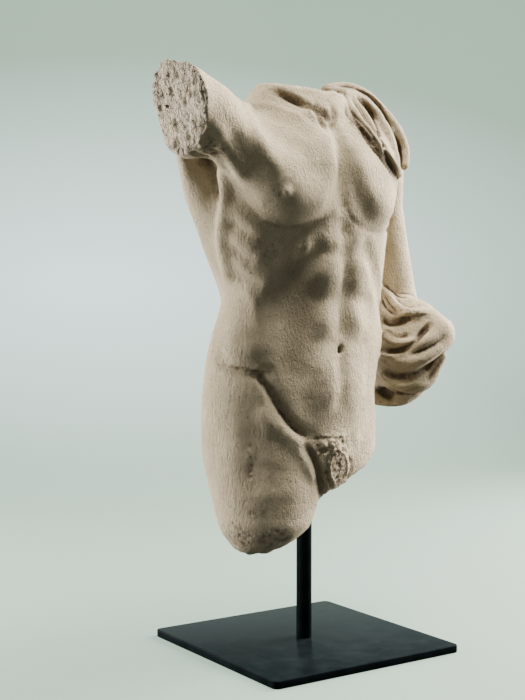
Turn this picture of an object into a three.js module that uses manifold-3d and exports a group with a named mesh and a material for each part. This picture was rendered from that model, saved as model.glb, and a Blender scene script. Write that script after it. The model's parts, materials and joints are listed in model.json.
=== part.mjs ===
// A plaster cast of a classical male torso, held up by a round steel post on a square steel plate.
// Millimetres, +Z up. The origin is the centre of the plate's underside. The figure faces -Y.

import * as THREE from 'three';
import { mergeVertices } from 'three/addons/utils/BufferGeometryUtils.js';
import Module from 'manifold-3d';

// Driving sizes of the stand
const PLATE_SIDE = 300;
const PLATE_THICKNESS = 10;
const PLATE_CORNER_RADIUS = 9;
const PLATE_EDGE_ROUNDING = 1.2;
const PLATE_ROUNDING_STEPS = 1;
const PLATE_CORNER_STEPS = 5;
const POST_DIAMETER = 21;
const POST_SIDES = 40;

// How the cast sits on the stand. Its crotch is CROTCH_HEIGHT above the plate, and the socket for
// the post ends SOCKET_RISE above the crotch.
const CROTCH_HEIGHT = 202;
const SOCKET_RISE = 70;
const SOCKET_CLEARANCE = 0.4;
const RESTING_GAP = 0.3;
const FIGURE_TURN = THREE.MathUtils.degToRad(8);

// The cast. Its pose and carving are given in the figure's own frame, for a figure of
// MODEL_HEIGHT, and are scaled together to TORSO_HEIGHT. In that frame the origin is at the
// crotch on the post's axis, +X is the figure's left, -Y its front and +Z up.
const TORSO_HEIGHT = 625;
const MODEL_HEIGHT = 625;

// The cells that the carving is found on, and how far its surface may be flattened where it is
// plain, which leaves the facets where it bends.
const BODY_CELL = 9;
const CLOTH_CELL = 6.5;
const FLATTENING = 1.55;

const FIGURE_SCALE = TORSO_HEIGHT / MODEL_HEIGHT;

const PLASTER_COLOUR = 0xc9c1ae;
const STEEL_COLOUR = 0x15181a;
const MERGE_DISTANCE = 1e-4;

// Signed distances, in the figure's frame: negative inside, positive outside.
const NEARLY_ZERO = 1e-6;
const FOLD_STEPS = 3;

function clamp01(t) {
  return Math.min(1, Math.max(0, t));
}

function smoothUnion(a, b, blend) {
  if (Math.abs(a - b) >= blend) {
    return Math.min(a, b);
  }
  const h = 1 - Math.abs(a - b) / blend;
  return Math.min(a, b) - h * h * blend * 0.25;
}

function smoothIntersection(a, b, blend) {
  return -smoothUnion(-a, -b, blend);
}

// An egg of three radii, turned about the vertical by a heading in degrees.
function egg([cx, cy, cz], [rx, ry, rz], heading = 0) {
  const cos = Math.cos(THREE.MathUtils.degToRad(heading));
  const sin = Math.sin(THREE.MathUtils.degToRad(heading));
  return (x, y, z) => {
    const dx = x - cx;
    const dy = y - cy;
    const u = (dx * cos + dy * sin) / rx;
    const v = (dy * cos - dx * sin) / ry;
    const w = (z - cz) / rz;
    const near = Math.sqrt(u * u + v * v + w * w);
    const slope = Math.sqrt((u / rx) ** 2 + (v / ry) ** 2 + (w / rz) ** 2);
    return slope < NEARLY_ZERO ? -Math.min(rx, ry, rz) : (near * (near - 1)) / slope;
  };
}

// A limb, muscle or fold: a chain of round tapering pieces through points [x, y, z, radius].
function limb(points) {
  const pieces = points.slice(1).map(([bx, by, bz, br = 0], i) => {
    const [ax, ay, az, ar = 0] = points[i];
    const [ex, ey, ez] = [bx - ax, by - ay, bz - az];
    return { ax, ay, az, ar, ex, ey, ez, grow: br - ar, square: ex * ex + ey * ey + ez * ez };
  });
  return (x, y, z) => {
    let nearest = Infinity;
    for (const { ax, ay, az, ar, ex, ey, ez, grow, square } of pieces) {
      const dx = x - ax;
      const dy = y - ay;
      const dz = z - az;
      const t = clamp01((dx * ex + dy * ey + dz * ez) / square);
      const u = dx - t * ex;
      const v = dy - t * ey;
      const w = dz - t * ez;
      nearest = Math.min(nearest, Math.sqrt(u * u + v * v + w * w) - ar - grow * t);
    }
    return nearest;
  };
}

// A fold: a limb along a smooth curve through its points, in short steps.
function fold(points) {
  const curve = new THREE.CatmullRomCurve3(points.map(([x, y, z]) => new THREE.Vector3(x, y, z)));
  const spans = points.length - 1;
  return limb(Array.from({ length: spans * FOLD_STEPS + 1 }, (_, n) => {
    const along = n / FOLD_STEPS;
    const i = Math.min(spans - 1, Math.floor(along));
    const radius = points[i][3] + (along - i) * (points[i + 1][3] - points[i][3]);
    return [...curve.getPoint(along / spans).toArray(), radius];
  }));
}

// A low mound on the skin, highest at its centre.
function swell([cx, cy, cz], [rx, ry, rz], rise) {
  return (x, y, z) => {
    const u = (x - cx) / rx;
    const v = (y - cy) / ry;
    const w = (z - cz) / rz;
    const s = u * u + v * v + w * w;
    return s < 1 ? rise * (1 - s) * (1 - s) : 0;
  };
}

// A furrow in the skin along a path, deepest on the path itself. A negative depth is a ridge.
function furrow(points, reach, depth) {
  const route = limb(points);
  return (x, y, z) => {
    const s = (route(x, y, z) / reach) ** 2;
    return s < 1 ? depth * (1 - s) * (1 - s) : 0;
  };
}

// The half space behind a plane through a point, with its normal pointing away from the solid.
function slab([px, py, pz], normal) {
  const [nx, ny, nz] = new THREE.Vector3(...normal).normalize().toArray();
  return (x, y, z) => (x - px) * nx + (y - py) * ny + (z - pz) * nz;
}

// The trunk: rounded sections, each with its height, centre, half width and half depth.
const TRUNK_SECTIONS = [
  { z: -40, x: -28, y: 6, width: 100, depth: 70 },
  { z: 20, x: -26, y: 3, width: 118, depth: 86 },
  { z: 70, x: -27, y: 1, width: 126, depth: 90 },
  { z: 124, x: -27, y: 0, width: 128, depth: 91 },
  { z: 193, x: -18, y: 0, width: 128, depth: 89 },
  { z: 262, x: -5, y: 0, width: 118, depth: 86 },
  { z: 331, x: -12, y: 0, width: 131, depth: 95 },
  { z: 400, x: -10, y: 0, width: 140, depth: 98 },
  { z: 460, x: -6, y: 2, width: 138, depth: 90 },
  { z: 505, x: 4, y: 6, width: 92, depth: 64 },
  { z: 540, x: 2, y: 8, width: 62, depth: 50 },
  { z: 580, x: 0, y: 10, width: 58, depth: 46 },
];
const TRUNK_SQUARENESS = 2.25;

// A smooth value between the sections around a height.
function sectionAt(z) {
  const last = TRUNK_SECTIONS.length - 1;
  let i = 0;
  while (i < last - 1 && TRUNK_SECTIONS[i + 1].z < z) {
    i += 1;
  }
  const before = TRUNK_SECTIONS[Math.max(0, i - 1)];
  const low = TRUNK_SECTIONS[i];
  const high = TRUNK_SECTIONS[i + 1];
  const after = TRUNK_SECTIONS[Math.min(last, i + 2)];
  const span = high.z - low.z;
  const t = clamp01((z - low.z) / span);
  const value = (key) => {
    const slopeLow = ((high[key] - before[key]) / (high.z - before.z)) * span;
    const slopeHigh = ((after[key] - low[key]) / (after.z - low.z)) * span;
    const drop = low[key] - high[key];
    return low[key] + t * (slopeLow + t * (-3 * drop - 2 * slopeLow - slopeHigh
      + t * (2 * drop + slopeLow + slopeHigh)));
  };
  return [value('x'), value('y'), value('width'), value('depth')];
}

function trunk(x, y, z) {
  const [cx, cy, width, depth] = sectionAt(z);
  const u = Math.abs(x - cx) / width;
  const v = Math.abs(y - cy) / depth;
  const share = (u ** TRUNK_SQUARENESS + v ** TRUNK_SQUARENESS) ** (1 / TRUNK_SQUARENESS);
  const reach = Math.hypot(x - cx, y - cy);
  return share < NEARLY_ZERO ? -depth : reach - reach / share;
}

// Masses of the trunk, each with how softly it runs in.
const TRUNK_MASSES = Object.values({
  leftThigh: { blend: 26, form: limb([[26, 0, 90, 64], [31, -8, 20, 64]]) },
  leftButtock: { blend: 24, form: egg([12, 44, 80], [54, 52, 62]) },
  leftLatissimus: { blend: 22,
    form: limb([[112, 40, 450, 32], [92, 48, 390, 32], [66, 48, 320, 26]]) },
  rightLatissimus: { blend: 22,
    form: limb([[-158, 29, 452, 30], [-138, 44, 402, 28], [-109, 45, 345, 25], [-78, 42, 285, 22]]) },
  leftShoulder: { blend: 26, form: egg([106, 12, 466], [60, 56, 64]) },
  leftSideOfNeck: { blend: 24, form: limb([[88, 14, 500, 30], [30, 16, 520, 36]]) },
  rightSideOfNeck: { blend: 24, form: limb([[-94, 8, 474, 26], [-54, 10, 516, 32]]) },
  pubicMound: { blend: 16, form: egg([-32, -62, 60], [34, 30, 40]) },
});
const NECK_BREAK = { blend: 6, end: slab([-10, 0, 543], [0.08, -0.1, 1]) };
const LEFT_THIGH_BREAK = { blend: 3, end: slab([40, -30, 42], [0.44, 0.05, -1]) };

// Limbs that join after those breaks are cut.
const LIMBS = Object.values({
  rightThigh: { blend: 12,
    form: limb([[-78, -8, 110, 62], [-83, -15, 50, 67], [-84, -18, 14, 68], [-88, -22, -24, 63],
      [-95, -26, -70, 50]]) },
  rightButtock: { blend: 24, form: egg([-70, 42, 76], [54, 52, 66]) },
  rightArm: { blend: 26,
    form: limb([[-108, 2, 436, 50], [-172, -10, 478, 49], [-262, -34, 500, 54]]) },
  rightArmBehind: { blend: 16, form: limb([[-190, -2, 496, 30], [-262, 2, 528, 37]]) },
  rightFrontOfArmpit: { blend: 30,
    form: limb([[-200, -42, 487, 26], [-157, -55, 446, 24], [-118, -62, 410, 26]]) },
  leftArm: { blend: 16,
    form: limb([[152, 14, 450, 42], [167, 19, 390, 34], [184, 20, 320, 34], [196, 20, 255, 38]]) },
});
const ARM_BREAK = { blend: 5, end: slab([-236, -29, 500], [-1, 0.1, -0.12]) };
const RIGHT_THIGH_BREAK = { blend: 40, end: slab([-112, -20, -66], [0.3, 0, -1]) };

// Flat muscles: the skin raised by a small height inside an outline. The rise runs out upwards
// between two heights.
const SHEET_FULL_BELOW = 435;
const SHEET_GONE_ABOVE = 515;
const SHEETS = Object.values({
  rightBreast: { rise: 10, soft: 20, blend: 6, outline: egg([-90, -64, 470], [74, 84, 118]) },
  leftBreast: { rise: 10, soft: 20, blend: 6, outline: egg([50, -64, 466], [72, 84, 114]) },
});

// Hollows cut into the skin.
const HOLLOWS = Object.values({
  rightArmpit: { blend: 16, form: egg([-178, 2, 416], [22, 24, 44], 10) },
  hollowOverTheRightCollarbone: { blend: 6, form: egg([-66, -44, 530], [26, 11, 12], -28) },
  notchOfTheBreastbone: { blend: 5, form: egg([-22, -68, 502], [8, 12, 12]) },
  navel: { blend: 3, form: egg([-20, -94, 196], [4, 8, 5]) },
});

// Low mounds of muscle and bone on the skin.
const SWELLS = Object.values({
  rightLowerBreast: { lift: swell([-88, -92, 390], [52, 60, 40], 6) },
  leftLowerBreast: { lift: swell([44, -92, 388], [50, 60, 40], 6) },
  rightFlank: { lift: swell([-126, -40, 238], [44, 56, 60], 6) },
  rightFlankOverTheHip: { lift: swell([-136, -26, 204], [38, 50, 32], 7) },
  leftFlankOverTheHip: { lift: swell([96, -20, 206], [44, 60, 44], 8) },
  lowerBelly: { lift: swell([-28, -92, 140], [70, 60, 56], 5) },
  rightShoulderBlade: { lift: swell([-72, 96, 420], [56, 50, 62], 9) },
  leftShoulderBlade: { lift: swell([66, 96, 410], [52, 50, 62], 9) },
  loinOnTheRight: { lift: swell([-52, 92, 240], [34, 40, 90], 6) },
  loinOnTheLeft: { lift: swell([20, 92, 240], [34, 40, 90], 6) },
});

// The straight muscle of the belly: pairs of blocks, each with its height, half width, half
// height and rise, beside a midline that bows with the pose.
const BELLY_BLOCKS = [
  { z: 342, half: 26, tall: 22, rise: 4 },
  { z: 293, half: 33, tall: 37, rise: 6 },
  { z: 236, half: 33, tall: 34, rise: 5 },
  { z: 158, half: 36, tall: 62, rise: 4 },
];
const BELLY_FRONT = -90;
const BELLY_DEPTH = 46;
const BLOCK_FROM_MIDLINE = 0.84;
const MIDLINE = [[-20, -98, 362], [-12, -94, 293], [-18, -92, 211], [-26, -94, 130]];
const BELLY_SWELLS = BELLY_BLOCKS.flatMap(({ z, half, tall, rise }) => {
  const middle = midlineAt(z);
  return [-1, 1].map((side) => (
    { lift: swell([middle + side * half * BLOCK_FROM_MIDLINE, BELLY_FRONT, z],
      [half, BELLY_DEPTH, tall], rise) }));
});

// Where the midline stands at a height.
function midlineAt(z) {
  const below = MIDLINE.findIndex((point) => point[2] <= z);
  const high = MIDLINE[Math.max(0, below - 1)];
  const low = MIDLINE[below < 0 ? MIDLINE.length - 1 : below];
  const span = high[2] - low[2];
  return span ? low[0] + ((z - low[2]) / span) * (high[0] - low[0]) : low[0];
}

// Fingers of muscle on the ribs under the right arm, one below the other.
const RIB_FINGERS = { count: 4, first: [-146, -27, 371], drop: [5, -1, -34], run: [17, -26, -16],
  reach: 19, rise: 2.5 };
const RIB_SWELLS = Array.from({ length: RIB_FINGERS.count }, (_, i) => {
  const start = RIB_FINGERS.first.map((value, axis) => value + i * RIB_FINGERS.drop[axis]);
  const end = start.map((value, axis) => value + RIB_FINGERS.run[axis]);
  return { lift: furrow([start, end], RIB_FINGERS.reach, RIB_FINGERS.rise) };
});

// Long furrows between muscles, and ridges where the depth is negative.
const FURROWS = Object.values({
  breastbone: { lift: furrow([[-23, -74, 479], [-29, -92, 440], [-25, -98, 385]], 18, 3) },
  midlineOfTheBelly: { lift: furrow(MIDLINE, 17, 2) },
  rightEdgeOfTheRibs: {
    lift: furrow([[-27, -98, 350], [-64, -92, 326], [-92, -74, 284], [-116, -52, 258]], 20, 4) },
  leftEdgeOfTheRibs: {
    lift: furrow([[-10, -98, 350], [26, -94, 326], [62, -78, 284], [84, -56, 250]], 20, 4) },
  rightHipCrease: {
    lift: furrow([[-152, 2, 186], [-146, -30, 174], [-125, -62, 169]], 14, 5) },
  rightGroin: {
    lift: furrow([[-125, -62, 168], [-121, -73, 141], [-99, -87, 104], [-68, -95, 84]], 16, 6) },
  leftGroin: { lift: furrow([[92, -52, 160], [72, -74, 120], [30, -90, 84]], 18, 6) },
  thighFurrow: { lift: furrow([[-147, -52, 118], [-146, -58, 70], [-142, -62, 30]], 26, 2.5) },
  thighEdge: {
    lift: furrow([[-133, -68, 112], [-106, -84, 92], [-79, -92, 67], [-62, -92, 38]], 20, -4) },
  flankRidge: {
    lift: furrow([[-160, -16, 418], [-150, -10, 382], [-147, 2, 340], [-136, 10, 292]], 18, -5) },
  rightCollarbone: { lift: furrow([[-34, -66, 500], [-76, -52, 510], [-120, -24, 508]], 15, -5) },
  spine: { lift: furrow([[-12, 96, 500], [-14, 106, 400], [-14, 96, 250], [-24, 98, 150]], 26, 10) },
  cleft: { lift: furrow([[-28, 98, 130], [-30, 96, 80], [-32, 84, 30]], 20, 14) },
  gapBesideTheThigh: {
    lift: furrow([[-80, -90, 72], [-69, -92, 58], [-61, -92, 42], [-52, -88, 24], [-44, -82, 4]], 12, 6.5) },
});

function join(start, masses, x, y, z) {
  let d = start;
  for (const mass of masses) {
    d = smoothUnion(d, mass.form(x, y, z), mass.blend);
  }
  return d;
}

function cutOff(d, { blend, end }, x, y, z) {
  return smoothIntersection(d, end(x, y, z), blend);
}

const MOUNDS = [...SWELLS, ...BELLY_SWELLS, ...RIB_SWELLS];

// The naked figure, without its cloth.
function body(x, y, z) {
  let d = join(trunk(x, y, z), TRUNK_MASSES, x, y, z);
  d = cutOff(d, NECK_BREAK, x, y, z);
  d = cutOff(d, LEFT_THIGH_BREAK, x, y, z);
  d = join(d, LIMBS, x, y, z);
  const share = clamp01((SHEET_GONE_ABOVE - z) / (SHEET_GONE_ABOVE - SHEET_FULL_BELOW));
  for (const sheet of SHEETS) {
    const raised = smoothIntersection(d - sheet.rise * share, sheet.outline(x, y, z), sheet.soft);
    d = smoothUnion(d, raised, sheet.blend);
  }
  for (const hollow of HOLLOWS) {
    d = smoothIntersection(d, -hollow.form(x, y, z), hollow.blend);
  }
  for (const mound of MOUNDS) {
    d -= mound.lift(x, y, z);
  }
  for (const line of FURROWS) {
    d += line.lift(x, y, z);
  }
  d = cutOff(d, ARM_BREAK, x, y, z);
  return cutOff(d, RIGHT_THIGH_BREAK, x, y, z);
}

// The cloak: a band over the left shoulder and down the back of the arm, and a gathered mass
// round the forearm. Folds are round ridges along hand-placed paths.
const CLOTH_LIFT = 5;
const FOLD_BLEND = 5;
const CLOTH_BOTTOM = 420;
const EDGE_BLEND = 4;
const SHOULDER_EDGE = slab([34, -87, 478], [-0.66, 0, -0.75]);
const NECK_EDGE = slab([36, -50, 505], [-1, 0, 0.1]);
const SHOULDER_FOLDS = [
  [[41, -52, 511, 6], [39, -64, 498, 6], [39, -77, 486, 6], [44, -84, 473, 7], [54, -88, 461, 7],
    [66, -90, 450, 7], [80, -89, 440, 7], [95, -83, 430, 6]],
  [[58, -36, 528, 6], [60, -50, 512, 6], [60, -62, 496, 6], [62, -72, 480, 6], [70, -78, 464, 6],
    [82, -80, 449, 6], [95, -80, 436, 6]],
  [[44, -32, 537, 7], [66, -28, 537, 8], [88, -29, 529, 8], [104, -31, 516, 9], [110, -37, 502, 9],
    [112, -46, 487, 9], [112, -54, 470, 8], [110, -62, 453, 8], [106, -70, 436, 6]],
  [[34, -8, 545, 8], [70, -10, 550, 9], [104, -13, 542, 10], [130, -18, 523, 10],
    [151, -27, 496, 11], [160, -34, 470, 9], [152, -43, 448, 7]],
];
// Down the back, folds spread between an inner path beside the spine and an outer one behind
// the arm.
const BACK_INNER = [[44, 22, 530], [52, 70, 480], [76, 92, 390], [104, 82, 300], [150, 44, 220]];
const BACK_OUTER = [[118, 10, 520], [150, 44, 484], [176, 50, 400], [190, 46, 310], [190, 26, 236]];
const BACK_FOLD_COUNT = 5;
const BACK_FOLD_RADIUS = 15;
const BACK_FOLDS = Array.from({ length: BACK_FOLD_COUNT }, (_, n) => {
  const share = n / (BACK_FOLD_COUNT - 1);
  return BACK_INNER.map((point, i) => [
    ...point.map((value, axis) => value + share * (BACK_OUTER[i][axis] - value)), BACK_FOLD_RADIUS]);
});
// Round the forearm the cloth is gathered in deep sagging folds.
const BUNDLE_FOLDS = [
  [[165, 3, 272, 8], [158, -18, 252, 8], [162, -38, 241, 8], [182, -50, 240, 8], [208, -50, 238, 7]],
  [[140, -20, 216, 7], [144, -36, 203, 8], [157, -54, 197, 9], [180, -67, 204, 9], [204, -70, 220, 8]],
  [[136, -26, 182, 7], [148, -46, 173, 9], [168, -63, 177, 10], [194, -70, 192, 10], [214, -70, 204, 9]],
  [[138, -22, 154, 8], [150, -38, 141, 9], [168, -52, 137, 10], [192, -57, 148, 10], [212, -60, 178, 9]],
  [[130, 6, 124, 9], [144, -10, 118, 10], [160, -30, 118, 10], [184, -38, 129, 10], [203, -40, 151, 9]],
];
const CLOTH_FOLDS = [...SHOULDER_FOLDS, ...BACK_FOLDS, ...BUNDLE_FOLDS].map(fold);
const BUNDLE = egg([174, -8, 178], [43, 55, 68]);
const FOREARM = limb([[180, 16, 252, 29], [198, -28, 227, 31], [209, -53, 210, 28]]);
const BUNDLE_BLEND = 24;

function cloth(x, y, z) {
  const under = cutOff(join(trunk(x, y, z), TRUNK_MASSES, x, y, z), NECK_BREAK, x, y, z) - CLOTH_LIFT;
  let band = smoothIntersection(under, SHOULDER_EDGE(x, y, z), EDGE_BLEND);
  band = smoothIntersection(band, NECK_EDGE(x, y, z), EDGE_BLEND);
  band = smoothIntersection(band, CLOTH_BOTTOM - z, EDGE_BLEND);
  let d = Math.min(band, smoothUnion(BUNDLE(x, y, z), FOREARM(x, y, z), BUNDLE_BLEND));
  for (const fold of CLOTH_FOLDS) {
    d = smoothUnion(d, fold(x, y, z), FOLD_BLEND);
  }
  return d;
}

// How the surface is found: cells are tested in blocks, which are passed over when the field in
// their middle is larger than their half diagonal by a safe factor. Points settle in a few rounds,
// within a share of a cell.
const BLOCK = 4;
const SAFE_REACH = 1.3;
const SETTLE_ROUNDS = 4;
const SETTLE_SHARE = 0.5;
const SLOPE_STEP = 0.5;
const LEAST_STEEPNESS = 0.2;

// The surface where a field is zero, found on a grid of cells. Each sheet of surface that passes
// through a cell has one point there, settled on the surface, and each grid edge that the surface
// crosses has one quad between the points of the four cells around it.
function skin(field, from, to, cell) {
  const low = from.map((value) => value - cell);
  const counts = low.map((value, axis) => Math.ceil((to[axis] + cell - value) / cell) + 1);
  const grid = { counts, values: gridValues(field, low, counts, cell) };
  const positions = [];
  const pointOf = new Map();
  for (let k = 0; k + 1 < counts[2]; k += 1) {
    for (let j = 0; j + 1 < counts[1]; j += 1) {
      for (let i = 0; i + 1 < counts[0]; i += 1) {
        for (const edges of sheetsInCell(grid, [i, j, k])) {
          const middle = [0, 1, 2].map(
            (axis) => edges.reduce((sum, edge) => sum + edge.place[axis], 0) / edges.length);
          const start = low.map((value, axis) => value + middle[axis] * cell);
          edges.forEach((edge) => pointOf.set(cellEdgeKey(grid, [i, j, k], edge), positions.length / 3));
          positions.push(...settle(field, start, cell * SETTLE_SHARE));
        }
      }
    }
  }
  return { positions, triangles: quads(grid, pointOf, positions) };
}

function indexAt({ counts }, [i, j, k]) {
  return (k * counts[1] + j) * counts[0] + i;
}

// The field at each corner of the grid. A block of cells that is far from the surface takes the
// value at its middle.
function gridValues(field, low, counts, cell) {
  const values = new Float64Array(counts[0] * counts[1] * counts[2]);
  const reach = (BLOCK * cell * Math.sqrt(3) * SAFE_REACH) / 2;
  const starts = counts.map((count) => Math.ceil(count / BLOCK));
  for (let block = 0; block < starts[0] * starts[1] * starts[2]; block += 1) {
    const first = [block % starts[0], Math.floor(block / starts[0]) % starts[1],
      Math.floor(block / (starts[0] * starts[1]))].map((n) => n * BLOCK);
    const middle = first.map((n, axis) => low[axis] + (n + BLOCK / 2) * cell);
    const centre = field(...middle);
    const far = Math.abs(centre) > reach;
    const [iEnd, jEnd, kEnd] = first.map((n, axis) => Math.min(counts[axis], n + BLOCK));
    for (let k = first[2]; k < kEnd; k += 1) {
      for (let j = first[1]; j < jEnd; j += 1) {
        for (let i = first[0]; i < iEnd; i += 1) {
          values[(k * counts[1] + j) * counts[0] + i] = far ? centre
            : field(low[0] + i * cell, low[1] + j * cell, low[2] + k * cell);
        }
      }
    }
  }
  return values;
}

// A cell's twelve edges: the axis that each runs along, and its start corner.
const CELL_EDGES = [0, 1, 2].flatMap((axis) => [0, 1, 2, 3].map((side) => {
  const corner = [0, 0, 0];
  corner[(axis + 1) % 3] = side & 1;
  corner[(axis + 2) % 3] = side >> 1;
  return { axis, corner };
}));

// The groups of crossed edges in a cell, one for each sheet of surface. Two crossed edges of a
// cell's face belong together, and where a face has four, those that meet at an inside corner.
function sheetsInCell(grid, cell) {
  const sign = [];
  for (let n = 0; n < 8; n += 1) {
    sign.push(grid.values[indexAt(grid, [cell[0] + (n & 1), cell[1] + ((n >> 1) & 1),
      cell[2] + (n >> 2)])]);
  }
  if (sign.every((value) => value < 0) || sign.every((value) => value >= 0)) {
    return [];
  }
  const crossed = [];
  for (const { axis, corner } of CELL_EDGES) {
    const from = corner[0] + 2 * corner[1] + 4 * corner[2];
    const to = from + (1 << axis);
    if ((sign[from] < 0) !== (sign[to] < 0)) {
      const place = cell.map((n, other) => n + corner[other]);
      place[axis] += sign[from] / (sign[from] - sign[to]);
      crossed.push({ axis, corner, from, to, place, inside: sign[from] < 0 ? from : to,
        group: crossed.length });
    }
  }
  const unite = (a, b) => {
    const old = b.group;
    crossed.filter((edge) => edge.group === old).forEach((edge) => { edge.group = a.group; });
  };
  for (let axis = 0; axis < 3; axis += 1) {
    for (let side = 0; side < 2; side += 1) {
      const bit = 1 << axis;
      const onFace = crossed.filter(({ from, to }) => (
        ((from & bit) !== 0) === (side === 1) && ((to & bit) !== 0) === (side === 1)));
      for (let n = 1; n < onFace.length; n += 1) {
        for (let m = 0; m < n; m += 1) {
          if (onFace.length === 2 || onFace[n].inside === onFace[m].inside) {
            unite(onFace[m], onFace[n]);
          }
        }
      }
    }
  }
  const groups = [...new Set(crossed.map((edge) => edge.group))];
  return groups.map((group) => crossed.filter((edge) => edge.group === group));
}

// One number for a cell and one of its edges.
function cellEdgeKey(grid, cell, { axis, corner }) {
  return indexAt(grid, cell) * 12 + axis * 4
    + corner[(axis + 1) % 3] + 2 * corner[(axis + 2) % 3];
}

// Moves a point along the field's slope until it lies on the surface, at most a set distance.
function settle(field, start, most) {
  const point = [...start];
  for (let round = 0; round < SETTLE_ROUNDS; round += 1) {
    const [x, y, z] = point;
    const here = field(x, y, z);
    const slope = [
      (field(x + SLOPE_STEP, y, z) - here) / SLOPE_STEP,
      (field(x, y + SLOPE_STEP, z) - here) / SLOPE_STEP,
      (field(x, y, z + SLOPE_STEP) - here) / SLOPE_STEP,
    ];
    const steepness = Math.max(LEAST_STEEPNESS, slope[0] ** 2 + slope[1] ** 2 + slope[2] ** 2);
    for (let axis = 0; axis < 3; axis += 1) {
      const moved = point[axis] - (here * slope[axis]) / steepness;
      point[axis] = Math.min(start[axis] + most, Math.max(start[axis] - most, moved));
    }
  }
  return point;
}

// Two triangles for each grid edge that the surface crosses, split along the shorter diagonal.
function quads(grid, pointOf, positions) {
  const triangles = [];
  const apart = (a, b) => Math.hypot(
    positions[3 * a] - positions[3 * b],
    positions[3 * a + 1] - positions[3 * b + 1],
    positions[3 * a + 2] - positions[3 * b + 2]);
  const [nx, ny, nz] = grid.counts;
  for (let axis = 0; axis < 3; axis += 1) {
    const next = (axis + 1) % 3;
    const last = (axis + 2) % 3;
    for (let k = 1; k + 1 < nz; k += 1) {
      for (let j = 1; j + 1 < ny; j += 1) {
        for (let i = 1; i + 1 < nx; i += 1) {
          const end = [i, j, k];
          end[axis] += 1;
          const inside = grid.values[indexAt(grid, [i, j, k])] < 0;
          if (inside !== grid.values[indexAt(grid, end)] < 0) {
            const around = (p, q) => {
              const cell = [i, j, k];
              cell[next] -= p;
              cell[last] -= q;
              const corner = [0, 0, 0];
              corner[next] = p;
              corner[last] = q;
              return pointOf.get(cellEdgeKey(grid, cell, { axis, corner }));
            };
            const ring = [around(1, 1), around(0, 1), around(0, 0), around(1, 0)];
            if (!inside) {
              ring.reverse();
            }
            const [a, b, c, d] = ring;
            if (apart(a, c) <= apart(b, d)) {
              triangles.push(a, b, c, a, c, d);
            } else {
              triangles.push(a, b, d, b, c, d);
            }
          }
        }
      }
    }
  }
  return triangles;
}

// The space that the naked figure and its cloth lie in.
const FIGURE_LOW = [-262, -130, -90];
const FIGURE_HIGH = [240, 130, 580];
const CLOTH_LOW = [20, -110, 94];
const CLOTH_HIGH = [250, 125, 580];

const wasm = await Module();
wasm.setup();

function solidOf(positions, triangles) {
  return new wasm.Manifold(new wasm.Mesh({
    numProp: 3,
    vertProperties: new Float32Array(positions),
    triVerts: new Uint32Array(triangles),
  }));
}

// A carved solid at the cast's real size.
function carved(field, low, high, cell) {
  const { positions, triangles } = skin(field, low, high, cell);
  return solidOf(positions.map((value) => value * FIGURE_SCALE), triangles);
}

function solidOfGeometry(geometry) {
  const bare = geometry.clone();
  bare.deleteAttribute('normal');
  bare.deleteAttribute('uv');
  const merged = mergeVertices(bare, MERGE_DISTANCE);
  return solidOf(merged.getAttribute('position').array, merged.index.array);
}

function geometryOf(solid) {
  const { vertProperties, triVerts } = solid.getMesh();
  const geometry = new THREE.BufferGeometry();
  geometry.setAttribute('position', new THREE.BufferAttribute(vertProperties, 3));
  geometry.setIndex(new THREE.BufferAttribute(triVerts, 1));
  return geometry;
}

// An upright round bar between two heights.
function bar(diameter, bottom, top) {
  const geometry = new THREE.CylinderGeometry(diameter / 2, diameter / 2, top - bottom, POST_SIDES);
  geometry.rotateX(Math.PI / 2);
  geometry.translate(0, 0, (bottom + top) / 2);
  return geometry;
}

function named(name, geometry, material) {
  const mesh = new THREE.Mesh(geometry, material);
  mesh.name = name;
  return mesh;
}

function torso() {
  const naked = carved(body, FIGURE_LOW, FIGURE_HIGH, BODY_CELL);
  const cloak = carved(cloth, CLOTH_LOW, CLOTH_HIGH, CLOTH_CELL);
  const socket = solidOfGeometry(
    bar(POST_DIAMETER + 2 * SOCKET_CLEARANCE, -CROTCH_HEIGHT, SOCKET_RISE));
  const cast = naked.add(cloak).simplify(FLATTENING);
  return named('torso', geometryOf(cast.subtract(socket)),
    new THREE.MeshStandardMaterial({ color: PLASTER_COLOUR, roughness: 0.85, metalness: 0 }));
}

const steel = new THREE.MeshStandardMaterial({ color: STEEL_COLOUR, roughness: 0.35, metalness: 0.6 });

function post() {
  const top = PLATE_THICKNESS + CROTCH_HEIGHT + SOCKET_RISE - RESTING_GAP;
  return named('post', bar(POST_DIAMETER, PLATE_THICKNESS + RESTING_GAP, top), steel.clone());
}

function basePlate() {
  const half = PLATE_SIDE / 2;
  const inner = half - PLATE_CORNER_RADIUS;
  const outline = new THREE.Shape();
  [[1, -1], [1, 1], [-1, 1], [-1, -1]].forEach(([sx, sy], corner) => {
    const start = (corner - 1) * (Math.PI / 2);
    outline.absarc(sx * inner, sy * inner, PLATE_CORNER_RADIUS, start, start + Math.PI / 2);
  });
  const geometry = new THREE.ExtrudeGeometry(outline, {
    depth: PLATE_THICKNESS - 2 * PLATE_EDGE_ROUNDING,
    bevelSize: PLATE_EDGE_ROUNDING,
    bevelOffset: -PLATE_EDGE_ROUNDING,
    bevelThickness: PLATE_EDGE_ROUNDING,
    bevelSegments: PLATE_ROUNDING_STEPS,
    curveSegments: PLATE_CORNER_STEPS,
  });
  geometry.translate(0, 0, PLATE_EDGE_ROUNDING);
  return named('base_plate', geometry, steel.clone());
}

const figure = new THREE.Group();
figure.add(torso());
figure.rotation.z = FIGURE_TURN;
figure.position.z = PLATE_THICKNESS + CROTCH_HEIGHT;

const part = new THREE.Group();
part.add(figure, post(), basePlate());

export default part;
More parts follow.
